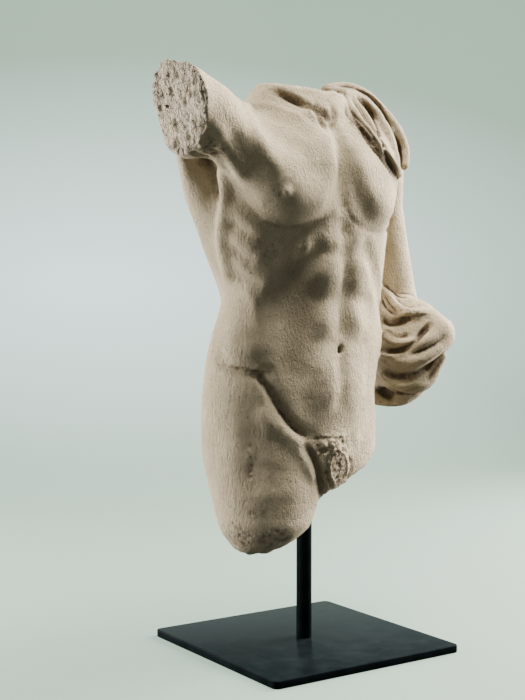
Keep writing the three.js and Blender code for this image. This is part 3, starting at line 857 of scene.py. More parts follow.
def neighbour_mean(values: np.ndarray, edges: np.ndarray) -> np.ndarray:
    """The mean of each vertex's neighbours.

    Args:
        values: A value or a row of values for each vertex.
        edges: The two ends of each edge.

    Returns:
        The means, in the shape of the values.
    """
    columns = values.reshape(len(values), -1)
    count = np.bincount(edges.ravel(), minlength=len(values))
    mean = np.column_stack([
        np.bincount(edges[:, 0], column[edges[:, 1]], len(values))
        + np.bincount(edges[:, 1], column[edges[:, 0]], len(values)) for column in columns.T])
    return (mean / np.maximum(count, 1)[:, None]).reshape(values.shape)


def store(piece: bpy.types.Object, name: str, values: Distances) -> None:
    """Store one value for each vertex, for the finish."""
    layer = piece.data.attributes.new(name, "FLOAT", "POINT")
    layer.data.foreach_set("value", values.astype(np.float32))


# The unevenness of worked plaster: the height, the size and the noise of each layer
UNEVENNESS = ((0.5, 22, 3), (0.28, 9, 4), (0.16, 4, 5))


@dataclass
class Cast:
    """The plaster cast: its mesh, its carving and its finish.

    The voxel is in metres and every other length in millimetres.
    """

    figure: Figure
    setting: Setting
    view: View
    voxel: float = 0.0036
    coarse_rounds: int = 4
    fine_rounds: int = 3
    longest_step: float = 2.5
    slide_share: float = 0.4
    socket_margin: float = 2.0
    socket_headroom: float = 3.0
    cloth_reach: float = 1.0
    cloth_fade: float = 2.0
    break_reach: float = 6.0
    fine_up_to: float = 30.0
    chip_reaches: Sequence[float] = (5.0, 4.0, 4.0)
    hollow_rounds: int = 4
    deep_rounds: int = 24
    aged_above: float = 420.0
    aged_fade: float = 20.0
    full_groove: float = 2.5
    full_crack: float = 0.5
    strokes: Sequence[Stroke] = ()
    lumps: Sequence[Lump | Patch] = ()

    def build(self) -> bpy.types.Object:
        """Make the cast and return it."""
        piece = self._start()
        self._settle(piece, self.coarse_rounds)
        self._refine(piece)
        self._settle(piece, self.fine_rounds)
        self._chisel(piece)
        self._roughen(piece)
        self._mark(piece)
        piece.data.shade_smooth()
        piece.data.materials.clear()
        piece.data.materials.append(Plaster().build())
        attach(piece, "root")
        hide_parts("torso")
        return piece

    def _start(self) -> bpy.types.Object:
        """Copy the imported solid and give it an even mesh."""
        solid = bpy.data.objects["torso"]
        piece = add_object("torso_cast", solid.data.copy())
        work_on(piece)
        bpy.ops.object.mode_set(mode="EDIT")
        bpy.ops.mesh.select_all(action="SELECT")
        bpy.ops.mesh.remove_doubles(threshold=SMALL)
        bpy.ops.object.mode_set(mode="OBJECT")
        apply_modifier(piece, "REMESH", mode="VOXEL", voxel_size=self.voxel, adaptivity=0.0)
        return piece

    def _field(self, places: Places) -> Distances:
        """Distance of points of the part, in metres, to the carved form, in millimetres."""
        return self.figure.whole(self.setting.to_figure(places))

    def _settle(self, piece: bpy.types.Object, rounds: int) -> None:
        """Draw the mesh onto the carved form, except inside the post's socket.

        Args:
            piece: The cast.
            rounds: How many times it is moved.
        """
        edges = edges_of(piece)
        free = self._outside_socket(places_of(piece))
        for _ in range(rounds):
            places, normals = places_of(piece), normals_of(piece)
            slide = neighbour_mean(places, edges) - places
            slide -= normals * np.einsum("ij,ij->i", slide, normals)[:, None]
            sink = np.clip(self._field(places), -self.longest_step, self.longest_step)
            move = self.slide_share * slide - normals * (sink * MM)[:, None]
            move_to(piece, places + move * free[:, None])

    def _outside_socket(self, places: Places) -> np.ndarray:
        """One where a point belongs to the cast's skin, zero in the socket for the post."""
        low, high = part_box("post")
        radius = (high.x - low.x) / 2 + self.socket_margin * MM
        top = high.z + self.socket_headroom * MM
        inside = (np.hypot(places[:, 0], places[:, 1]) < radius) & (places[:, 2] < top)
        return np.where(inside, 0.0, 1.0)

    def _refine(self, piece: bpy.types.Object) -> None:
        """Cut the faces of the cloak and of the small carving into smaller ones."""
        places = self.setting.to_figure(places_of(piece))
        fine = self.figure.cloth(places) < self.cloth_reach
        fine |= np.abs(self.figure.arm_break.flat_distance(places)) < self.break_reach
        fine &= places[:, 1] < self.fine_up_to
        for centre, reach in FINE_PLACES:
            fine |= np.linalg.norm(places - centre, axis=1) < reach
        work_on(piece)
        bpy.ops.object.mode_set(mode="OBJECT")
        piece.data.polygons.foreach_set("select", np.zeros(len(piece.data.polygons), bool))
        piece.data.edges.foreach_set("select", np.zeros(len(piece.data.edges), bool))
        piece.data.vertices.foreach_set("select", fine)
        bpy.ops.object.mode_set(mode="EDIT")
        bpy.ops.mesh.select_mode(type="VERT")
        bpy.ops.mesh.subdivide(number_cuts=1)
        bpy.ops.object.mode_set(mode="OBJECT")

    def _chisel(self, piece: bpy.types.Object) -> None:
        """Cut the strokes into the skin, and store their brown: dirt in some cuts, painted shade in others.
        """
        surface = BVHTree.FromObject(piece, bpy.context.evaluated_depsgraph_get())
        places, normals = places_of(piece) / MM, normals_of(piece)
        height, cut_dust_and_shade = np.zeros(len(places)), np.zeros(len(places))
        for lump in self.lumps:
            centre, facing = self.view.trace(surface, [lump.pixel])
            if len(centre):
                cut = lump.lift(places, centre[0] / MM, facing[0], self.view)
                height += cut
                cut_dust_and_shade = np.maximum(cut_dust_and_shade, np.clip(-cut / self.full_crack, 0, 1) * lump.dust_and_shade)
        for stroke in self.strokes:
            route, facing = self.view.trace(surface, smooth_path(stroke.path))
            if len(route) > 1:
                cut = stroke.lift(places, route / MM, facing)
                height += cut
                cut_dust_and_shade = np.maximum(cut_dust_and_shade, np.clip(-cut / self.full_groove, 0, 1) * stroke.dust_and_shade)
        move_to(piece, (places + normals * height[:, None]) * MM)
        store(piece, "cut_dust_and_shade", cut_dust_and_shade)

    def _roughen(self, piece: bpy.types.Object) -> None:
        """Give the skin the unevenness of worked plaster."""
        places = places_of(piece)
        figure = self.setting.to_figure(places)
        height = sum(rise * noise(figure, size, seed) for rise, size, seed in UNEVENNESS)
        height *= self._outside_socket(places)
        move_to(piece, places + normals_of(piece) * (height * MM)[:, None])

    def _mark(self, piece: bpy.types.Object) -> None:
        """Store where the skin is hollow, broken or cloth, for the finish."""
        figure = self.setting.to_figure(places_of(piece))
        broken = np.zeros(len(figure))
        faces = (self.figure.arm_break, self.figure.neck_break, self.figure.left_thigh_break)
        for face, reach in zip(faces, self.chip_reaches):
            apart = np.abs(face.distance(figure))
            broken = np.maximum(broken, np.clip(1 - apart / reach, 0, 1))
        cloth = np.clip(1 - (self.figure.cloth(figure) - self.cloth_reach) / self.cloth_fade, 0, 1)
        aged = cloth * np.clip((figure[:, 2] - self.aged_above) / self.aged_fade, 0, 1)
        store(piece, "hollow", self._hollow(piece, self.hollow_rounds))
        store(piece, "deep", self._hollow(piece, self.deep_rounds))
        for name, values in (("broken", broken), ("cloth", cloth), ("aged", aged)):
            store(piece, name, values)

    @staticmethod
    def _hollow(piece: bpy.types.Object, rounds: int) -> Distances:
        """How far each vertex lies below the mean of its surroundings, in millimetres."""
        places, edges = places_of(piece), edges_of(piece)
        mean = places
        for _ in range(rounds):
            mean = neighbour_mean(mean, edges)
        return ((mean - places) * normals_of(piece)).sum(axis=1) / MM


SOFT, SHARP, STEP = Profile.SOFT, Profile.SHARP, Profile.STEP

# The chest: breast muscles, collarbones, the notch between them and the breastbone
CHEST_STROKES: Sequence[Stroke] = (
    Stroke([(246, 200), (256, 212), (266, 220), (280, 225), (296, 225), (312, 221), (327, 216), (339, 207)],
           17, 1.3, STEP),
    Stroke([(244, 203), (254, 215), (266, 224), (280, 230), (297, 231), (313, 228), (328, 222)], 20, 3.2),
    Stroke([(217, 126), (222, 137), (227, 148), (233, 160), (239, 172), (245, 183)], 15, -4.5),
    Stroke([(229, 130), (239, 144), (250, 158), (262, 173), (273, 187)], 24, 3.6),
    Stroke([(335, 140), (338, 165), (341, 188), (343, 205), (343, 222)], 13, 1.4),
    # Painted shade: this stroke browns the left breast's lower edge where its shadow falls
    Stroke([(345, 200), (348, 211), (354, 221), (362, 227), (371, 231), (380, 233), (387, 230), (391, 219)],
           5, 2.4, SOFT, 0.3),
    Stroke([(243, 106), (256, 104), (270, 106), (286, 111), (300, 118), (314, 128)], 9, -2.4),
    Stroke([(268, 117), (284, 121), (300, 129), (311, 138)], 14, 1.6),
    # Dust and painted shade: the valley behind the collarbone is browned where it lies in shade
    Stroke([(273, 90), (284, 95), (295, 100), (306, 105), (318, 111)], 10, 7.0, SOFT, 0.45),
    Stroke([(305, 104), (311, 113), (318, 126)], 6, -1.6),
    # Dust and painted shade: these two strokes brown the notch of the neck where it lies in shade
    Stroke([(316, 104), (320, 115), (325, 128)], 9, 7.0, SOFT, 0.5),
    Stroke([(333, 106), (334, 116), (330, 128)], 7, 4.5, SOFT, 0.5),
    Stroke([(325, 106), (327, 118), (326, 129)], 4, -1.6),
)

# The arm's underside, the armpit and the ridge of the flank
ARM_STROKES: Sequence[Stroke] = (
    Stroke([(204, 160), (210, 172), (214, 188), (214, 204)], 20, 8.0),
    Stroke([(190, 152), (200, 156), (212, 160)], 8, 3.0),
    Stroke([(204, 122), (208, 136), (213, 150)], 12, 3.0),
    Stroke([(222, 178), (223, 196), (221, 214), (218, 236), (222, 262)], 12, -2.0),
)

# The fingers of muscle on the ribs, and the edge of the ribs
RIB_STROKES: Sequence[Stroke] = (
    Stroke([(230, 222), (238, 229), (249, 236)], 15, 2.4),
    Stroke([(232, 250), (242, 258), (254, 265)], 15, 2.0),
    Stroke([(238, 276), (249, 282), (262, 287)], 14, 1.6),
    Stroke([(258, 240), (268, 250), (273, 266)], 20, 2.4),
    Stroke([(270, 306), (281, 288), (295, 275), (310, 264), (324, 252)], 20, 2.4),
    Stroke([(276, 294), (275, 306), (279, 320)], 9, 1.4),
)

# The belly: its midline, the lines across it, its edges and the navel
BELLY_STROKES: Sequence[Stroke] = (
    Stroke([(344, 234), (345, 255), (345, 276), (344, 296), (343, 316), (341, 334), (341, 345)], 15, 0.9),
    Stroke([(340, 356), (339, 375), (338, 395), (336, 415)], 16, 0.5),
    Stroke([(314, 254), (327, 255), (342, 256)], 11, 1.1),
    Stroke([(347, 255), (358, 257), (372, 262)], 11, 1.0),
    Stroke([(308, 297), (324, 297), (341, 298)], 12, 0.8),
    Stroke([(346, 299), (358, 300), (373, 304)], 12, 0.9),
    Stroke([(312, 341), (325, 343), (337, 346)], 13, 0.8),
    Stroke([(346, 345), (358, 345), (371, 348)], 13, 0.7),
    # Painted shade: these two broad strokes brown the belly's left and lower hollows where they lie in shade
    Stroke([(306, 262), (301, 285), (302, 310), (299, 335), (295, 360), (292, 388)], 34, 2.4, SOFT, 0.55),
    Stroke([(318, 368), (321, 388), (326, 412)], 36, 1.6, SOFT, 0.5),
    Stroke([(254, 292), (261, 308), (267, 326)], 12, 1.4),
    # Painted shade: this broad stroke browns the flank where it lies in shade
    Stroke([(240, 296), (247, 318), (252, 345)], 34, 1.8, SOFT, 0.45),
    Stroke([(341, 346), (340, 350), (340, 353)], 6.5, 7.0, SHARP),
    Stroke([(334, 341), (340, 339), (346, 342)], 4, -0.9),
)

# The hip crease, the groin, the thigh and the gap beside it
HIP_STROKES: Sequence[Stroke] = (
    Stroke([(214, 360), (228, 364), (242, 367), (256, 369), (268, 370)], 12, 2.0, STEP),
    Stroke([(232, 366), (244, 369), (256, 371), (265, 373)], 6, 2.6),
    Stroke([(250, 376), (258, 378), (265, 384)], 12, 3.0),
    Stroke([(309, 436), (298, 428), (287, 416), (277, 401), (269, 387), (265, 374)], 16, -2.6, STEP),
    # Dust and painted shadow: the groin's crease is browned where it lies in shadow
    Stroke([(258, 373), (267, 386), (276, 400), (285, 414), (295, 426), (307, 435)], 8, 5.0, SOFT, 0.45),
    Stroke([(251, 430), (252, 448), (253, 464), (255, 480)], 22, 1.0),
    # Painted shadow: the gap beside the thigh is browned where the thigh shades it
    Stroke([(306, 444), (313, 456), (318, 470), (321, 484), (322, 495)], 7, 4.0, SOFT, 0.6),
)

# The broken patch below the belly
PATCH_STROKES: Sequence[Stroke] = (
    Stroke([(309, 438), (322, 437), (336, 437), (351, 436)], 5, 1.8, STEP),
    Stroke([(333, 455), (330, 466), (331, 477), (336, 483)], 3.2, -2.0),
    Stroke([(333, 455), (339, 451), (345, 456), (347, 467), (344, 479), (336, 483)], 3.2, -1.8),
    Stroke([(327, 453), (325, 465), (327, 478), (332, 487)], 4.5, 2.8, SHARP),
    Stroke([(349, 456), (351, 467), (347, 480)], 4.5, 2.4, SHARP),
)

# The cloak on the shoulder: its front edge, its deep grooves and the thin lines on its front band
SHOULDER_STROKES: Sequence[Stroke] = (
    Stroke([(347, 105), (347, 117), (353, 126), (360, 132), (366, 140), (373, 148), (380, 156), (387, 167),
            (395, 178)], 5, 3.0, STEP, 0.6),
    Stroke([(346, 105), (347, 113), (350, 119), (356, 125), (362, 132), (366, 139), (373, 148), (380, 156),
            (386, 165), (394, 177)], 4.2, 3.2, SOFT, 0.9),
    Stroke([(371, 112), (376, 124), (381, 137), (386, 150), (391, 163)], 5.0, 4.5, SOFT, 0.9),
    # Dust and painted shade: the band between the front edge and the next groove is browned
    Stroke([(351, 116), (360, 128), (369, 141), (378, 153), (387, 165)], 7.0, 1.8, SOFT, 1.0),
    # Painted shade: this shallow stroke browns the shaded band along the cloak's top
    Stroke([(338, 86), (348, 86), (358, 88), (367, 92), (375, 98)], 5.0, 1.8, SOFT, 1.0),
    Stroke([(362, 100), (368, 108), (372, 117), (375, 125), (379, 133), (383, 142), (386, 150), (388, 158),
            (392, 167), (395, 175)], 6.0, 5.5, SOFT, 0.8),
    Stroke([(349, 110), (356, 117), (366, 127), (374, 138), (379, 147)], 3.0, 2.2, SOFT, 0.9),
    Stroke([(357, 88), (366, 93), (374, 100), (382, 110), (388, 121), (393, 132), (398, 144), (400, 156),
            (401, 168)], 3.6, 4.5, SOFT, 0.9),
    Stroke([(336, 86), (348, 87), (360, 90), (370, 95), (379, 103), (386, 111)], 3.0, 2.0, SOFT, 0.7),
    # Painted shade: this shallow stroke browns the shaded band along the cloak's top
    Stroke([(334, 83), (346, 83), (358, 86), (369, 91), (379, 99), (386, 108)], 5.0, 1.3, SOFT, 1.0),
    Stroke([(330, 94), (336, 95), (339, 96), (342, 100)], 2.4, 1.2, SOFT, 0.8),
)

# The gathered cloak round the forearm: narrow ridges between deep hollows
BUNDLE_STROKES: Sequence[Stroke] = (
    Stroke([(381, 286), (388, 294), (395, 302), (402, 309)], 4, -2.4),
    Stroke([(384, 296), (389, 305), (397, 313)], 6, 3.6, SHARP),
    Stroke([(383, 283), (390, 290), (398, 296), (408, 298)], 4, 2.4, SHARP),
    Stroke([(379, 298), (382, 307), (388, 314), (396, 317), (405, 314), (412, 309)], 6, -2.6),
    Stroke([(382, 318), (386, 322), (392, 323), (399, 322), (407, 319)], 8, 7.0),
    Stroke([(408, 318), (417, 316), (427, 315)], 5, 1.8, SHARP),
    Stroke([(381, 331), (385, 337), (391, 341), (398, 343), (406, 342)], 4.5, -2.4),
    Stroke([(386, 329), (393, 334), (401, 336), (409, 335)], 6, 3.4),
    Stroke([(382, 350), (388, 351), (396, 351), (404, 349), (412, 345), (419, 337), (425, 330), (430, 324)],
           6.5, 6.0),
    Stroke([(378, 355), (392, 356), (405, 354), (415, 350), (424, 343)], 6, -1.6),
    Stroke([(384, 371), (391, 375), (401, 376), (412, 375), (422, 371), (432, 363)], 8, 4.0),
    Stroke([(378, 373), (386, 380), (394, 385), (403, 386), (413, 383), (425, 375), (436, 362)], 5, -2.4),
    Stroke([(381, 388), (386, 394), (393, 398)], 10, 5.5),
    Stroke([(405, 392), (412, 390), (420, 387)], 5, 2.0, SHARP),
    Stroke([(447, 354), (440, 362), (433, 372), (427, 383)], 5, 1.6, SHARP),
)

# How brown the hollows of the gathered cloak are
BUNDLE_DUST = 0.6

STROKES: Sequence[Stroke] = (
    *CHEST_STROKES, *ARM_STROKES, *RIB_STROKES, *BELLY_STROKES, *HIP_STROKES, *PATCH_STROKES,
    *SHOULDER_STROKES, *(replace(stroke, dust_and_shade=BUNDLE_DUST) for stroke in BUNDLE_STROKES))

# The blocks of the belly, the hair and other small mounds
LUMPS: Sequence[Lump] = (
    Lump((286, 191), 12, 12, 3.0),
    Lump((286, 191), 5.5, 5.5, 5.0),
    # Painted shade: a browned dent on the nipple's shaded side
    Lump((281, 194), 6, 6, -1.2, 0.0, 0.5),
    Lump((262, 182), 30, 22, 2.0, 50),
    Lump((374, 197), 7, 8, 1.0),
    Lump((374, 198), 2.6, 2.6, 1.8),
    Lump((336, 112), 9, 12, 2.6),
    # Dust and painted shade: browned dents in the notch of the neck and behind the collarbone
    Lump((324, 116), 10, 14, -5.0, 0.0, 0.7),
    Lump((293, 98), 22, 7, -3.5, 25.0, 0.6),
    Lump((307, 248), 9, 17, 2.2, 10),
    Lump((326, 240), 16, 14, 1.6),
    Lump((359, 241), 14, 13, 1.8),
    Lump((327, 276), 19, 25, 0.9),
    Lump((359, 278), 17, 25, 0.6),
    Lump((326, 320), 19, 25, 1.3),
    Lump((358, 322), 17, 25, 1.2),
    Lump((334, 388), 42, 44, 1.0),
    Lump((262, 338), 34, 36, 1.2),
    Lump((338, 467), 10, 18, -1.6),
    Lump((332, 445), 34, 13, 2.0),
)

# Rough places: the cloak's front band, the neck, the worn patch, the scar, the arm and the thigh's foot
PATCHES: Sequence[Patch] = (
    Patch((368, 140), 40, 9, 4.0, 0.9, 55, 0.8),
    # Dust and painted shade: the rough notch of the neck is browned where it lies in shade
    Patch((324, 117), 14, 20, 4.0, 1.0, 0.0, 0.7),
    Patch((322, 446), 22, 16, 6.0, 1.7),
    Patch((341, 446), 20, 16, 6.0, 1.7),
    Patch((336, 470), 22, 34, 5.0, 1.1),
    Patch((251, 462), 7, 26, 4.5, 1.3, 0.0, 0.8),
    Patch((256, 512), 16, 12, 5.0, 0.9),
    Patch((210, 148), 20, 14, 7.0, 2.4, 40),
    Patch((238, 536), 22, 20, 5.5, 1.2, 0.0, 0.7),
    Patch((275, 540), 24, 16, 5.5, 1.0, 0.0, 0.7),
)

# Places of the figure's frame where the mesh is finer, each with its reach
FINE_PLACES: Sequence[tuple[Point, float]] = (
    ((-34, -80, 60), 40),
    ((-20, -94, 196), 14),
    ((-97, -90, 410), 16),
    ((-170, -20, 440), 30),
)


@dataclass
class Nodes:
    """A material's nodes, added one at a time."""

    material: bpy.types.Material

    @classmethod
    def of(cls, name: str) -> "Nodes":
        """Start a material with a name."""
        material = bpy.data.materials.new(name)
        material.use_nodes = True
        return cls(material)

    @property
    def shader(self) -> bpy.types.Node:
        """The material's shader."""
        return self.material.node_tree.nodes["Principled BSDF"]

    def add(self, kind: str, inputs: dict[str | int, object] | None = None,
            **settings: object) -> bpy.types.Node:
        """Add a node.

        Args:
            kind: Blender's name for the node.
            inputs: Values or sockets for its inputs, by name or number.
            settings: Its own settings.

        Returns:
            The node.
        """
        node = self.material.node_tree.nodes.new(kind)
        for name, value in settings.items():
            setattr(node, name, value)
        for name, value in (inputs or {}).items():
            self.feed(node.inputs[name], value)
        return node

    def feed(self, socket: Socket, value: object) -> None:
        """Give an input a value, or link it to a socket."""
        if isinstance(value, Socket):
            self.material.node_tree.links.new(value, socket)
        else:
            socket.default_value = value

    def math(self, operation: str, *values: object) -> Socket:
        """Add a sum on values or sockets and return its result."""
        node = self.add("ShaderNodeMath", dict(enumerate(values)), operation=operation)
        return node.outputs[0]

    def attribute(self, name: str) -> Socket:
        """Read one of the piece's stored values."""
        return self.add("ShaderNodeAttribute", attribute_name=name).outputs["Fac"]

    def places(self, scale: Point = (1, 1, 1), turn: Point = (0, 0, 0)) -> Socket:
        """Object coordinates, stretched and turned."""
        coordinates = self.add("ShaderNodeTexCoord").outputs["Object"]
        mapping = self.add("ShaderNodeMapping", {"Vector": coordinates, "Scale": scale, "Rotation": turn})
        return mapping.outputs["Vector"]

    def cells(self, size: float, places: Socket | None = None,
              feature: str = "F1") -> Socket:
        """Distances in a pattern of cells of a size in metres."""
        inputs = {"Vector": places or self.places(), "Scale": 1 / size}
        return self.add("ShaderNodeTexVoronoi", inputs, feature=feature).outputs["Distance"]

    def noise(self, size: float, detail: float = 4.0, rough: float = 0.55,
              places: Socket | None = None) -> Socket:
        """Noise whose lumps are of a size in metres."""
        return self.add("ShaderNodeTexNoise", {
            "Vector": places or self.places(), "Scale": 1 / size, "Detail": detail, "Roughness": rough,
        }).outputs["Fac"]

    def ramp(self, value: Socket, low: float, high: float,
             to_low: float = 0.0, to_high: float = 1.0) -> Socket:
        """Stretch a range of a value to another range, and hold it there."""
        return self.add("ShaderNodeMapRange", {
            "Value": value, "From Min": low, "From Max": high, "To Min": to_low, "To Max": to_high,
        }).outputs["Result"]

    def mix(self, share: object, low: object, high: object) -> Socket:
        """Mix two colours, whose sockets have no names of their own."""
        node = self.add("ShaderNodeMix", {0: share, 6: low, 7: high}, data_type="RGBA")
        return node.outputs[2]

    def bump(self, height: Socket, distance: float, strength: float,
             normal: Socket | None = None) -> Socket:
        """Raise the surface by a height of a value times a distance in metres."""
        inputs: dict[str | int, object] = {"Height": height, "Distance": distance, "Strength": strength}
        if normal is not None:
            inputs["Normal"] = normal
        return self.add("ShaderNodeBump", inputs).outputs["Normal"]


@dataclass(frozen=True)
class Plaster:
    """Warm off-white plaster: brushed grain, pinholes, brown dirt in its hollows, painted shade in some.

    Its sizes are in metres, and each is how far apart a pattern's marks stand.
    """

    light: Colour = (0.60, 0.495, 0.322, 1)
    shade: Colour = (0.46, 0.38, 0.25, 1)
    dust_and_shade: Colour = (0.10, 0.065, 0.04, 1)
    broken: Colour = (0.66, 0.56, 0.43, 1)
    cloud_size: float = 0.045
    patch_size: float = 0.012
    patch_share: float = 0.35
    broken_share: float = 0.6
    aged_share: float = 0.26
    stain_size: float = 0.007
    most_dust_and_shade: float = 0.9
    pit_size: float = 0.0105
    pitted_size: float = 0.02
    crack_size: float = 0.0062
    crack_share: float = 0.45
    speck_size: float = 0.0030
    speck_share: float = 0.34
    brush_size: float = 0.0032
    brushed_size: float = 0.07
    grain_size: float = 0.0016
    rough: float = 0.88
    shine: float = 0.25

    def build(self) -> bpy.types.Material:
        """Make the material and return it."""
        nodes = Nodes.of("plaster")
        specks = nodes.noise(self.speck_size, 4.0, 0.7)
        pits, cracks = self._pits(nodes), self._cracks(nodes)
        # Brown over the plaster's ground: dirt in hollows and cuts, and painted shade in some cuts
        colour = nodes.mix(self._dust_and_shade_share(nodes), self._ground(nodes), self.dust_and_shade)
        for share in (nodes.math("SUBTRACT", 1.0, pits),
                      nodes.ramp(specks, 0.46, 0.34, 0.0, self.speck_share),
                      nodes.math("MULTIPLY", cracks, self.crack_share)):
            colour = nodes.mix(share, colour, self.dust_and_shade)
        nodes.feed(nodes.shader.inputs["Base Color"], colour)
        nodes.feed(nodes.shader.inputs["Normal"], self._relief(nodes, specks, pits, cracks))
        nodes.shader.inputs["Roughness"].default_value = self.rough
        nodes.shader.inputs["Specular IOR Level"].default_value = self.shine
        return nodes.material

    def _ground(self, nodes: Nodes) -> Socket:
        """The plaster's own colour: clouds, smaller patches and the paler breaks."""
        clouds, patches = nodes.noise(self.cloud_size, 5.0), nodes.noise(self.patch_size)
        broken = nodes.math("MULTIPLY", nodes.attribute("broken"), self.broken_share)
        colour = nodes.mix(nodes.ramp(clouds, 0.35, 0.68), self.shade, self.light)
        colour = nodes.mix(nodes.ramp(patches, 0.3, 0.7, 0.0, self.patch_share), colour, self.shade)
        return nodes.mix(broken, colour, self.broken)

    def _dust_and_shade_share(self, nodes: Nodes) -> Socket:
        """How far the skin is browned: dirt, most in the cloak's folds, and painted shade in some cuts."""
        hollow, deep = nodes.attribute("hollow"), nodes.attribute("deep")
        stain = nodes.math("ADD", nodes.ramp(hollow, 0.1, 0.7, 0.0, 0.7),
                           nodes.ramp(deep, 0.2, 2.4, 0.0, 0.9))
        stain = nodes.math("MULTIPLY", stain, nodes.attribute("cloth"))
        aged = nodes.math("MULTIPLY", nodes.attribute("aged"), self.aged_share)
        dust_and_shade = nodes.math("ADD", nodes.ramp(hollow, 0.5, 1.6, 0.0, 0.4),
                          nodes.ramp(deep, 2.5, 6.0, 0.0, 0.5))
        dust_and_shade = nodes.math("MULTIPLY", dust_and_shade, nodes.ramp(nodes.attribute("broken"), 0.0, 1.0, 1.0, 0.35))
        dust_and_shade = nodes.math("MAXIMUM", dust_and_shade, nodes.math("MAXIMUM", stain, aged))
        dust_and_shade = nodes.math("MULTIPLY", dust_and_shade, nodes.ramp(nodes.noise(self.stain_size), 0.3, 0.6, 0.4, 1.0))
        # The chiselled cuts' brown: dirt in some, painted shade in others
        dust_and_shade = nodes.math("MAXIMUM", dust_and_shade, nodes.attribute("cut_dust_and_shade"))
        return nodes.math("MINIMUM", dust_and_shade, self.most_dust_and_shade)

    def _pits(self, nodes: Nodes) -> Socket:
        """Zero in pinholes, which stand in groups, and one elsewhere."""
        pits = nodes.ramp(nodes.cells(self.pit_size), 0.03, 0.13)
        pitted = nodes.ramp(nodes.noise(self.pitted_size, 2.0), 0.5, 0.56)
        return nodes.math("MAXIMUM", pits, nodes.math("SUBTRACT", 1.0, pitted))

    def _cracks(self, nodes: Nodes) -> Socket:
        """One in the cracks between the chips of a break, and zero elsewhere."""
        places = nodes.places((1.0, 1.0, 0.7), (0.0, 0.3, 0.0))
        apart = nodes.cells(self.crack_size, places, "DISTANCE_TO_EDGE")
        return nodes.math("MULTIPLY", nodes.ramp(apart, 0.16, 0.0), nodes.attribute("broken"))

    def _relief(self, nodes: Nodes, specks: Socket, pits: Socket,
                cracks: Socket) -> Socket:
        """The finest relief: each layer's height, its depth in metres and its strength."""
        brushed = nodes.noise(self.brush_size, 3.0, 0.6, nodes.places((1.0, 1.0, 0.42), (0.5, 0.35, 0.0)))
        share = nodes.ramp(nodes.noise(self.brushed_size, 2.0), 0.36, 0.60, 0.7, 1.0)
        normal = None
        for height, depth, strength in (
                (nodes.math("MULTIPLY", brushed, share), 0.0044, 1.0),
                (specks, 0.0024, 0.9),
                (nodes.noise(self.grain_size, 4.0, 0.65), 0.0016, 0.9),
                (nodes.math("SUBTRACT", 1.0, cracks), 0.0016, 0.8),
                (pits, 0.0012, 0.9)):
            normal = nodes.bump(height, depth, strength, normal)
        return normal


@dataclass(frozen=True)
class BlackCoat:
    """Black powder coat with a soft gloss and a fine orange peel. Its sizes are in metres."""

    colour: Colour = (0.004, 0.006, 0.007, 1)
    worn: Colour = (0.009, 0.012, 0.013, 1)
    cloud_size: float = 0.03
    peel_size: float = 0.0012
    peel_depth: float = 0.00025
    peel_strength: float = 0.35
    least_rough: float = 0.14
    most_rough: float = 0.26
    shine: float = 0.004

    def build(self) -> bpy.types.Material:
        """Make the material and return it."""
        nodes = Nodes.of("black_coat")
        clouds, peel = nodes.noise(self.cloud_size), nodes.noise(self.peel_size, 2.0)
        colour = nodes.mix(nodes.ramp(clouds, 0.4, 0.75), self.colour, self.worn)
        rough = nodes.ramp(clouds, 0.3, 0.7, self.least_rough, self.most_rough)
        nodes.feed(nodes.shader.inputs["Base Color"], colour)
        nodes.feed(nodes.shader.inputs["Roughness"], rough)
        nodes.feed(nodes.shader.inputs["Normal"], nodes.bump(peel, self.peel_depth, self.peel_strength))
        nodes.shader.inputs["Specular IOR Level"].default_value = self.shine
        return nodes.material


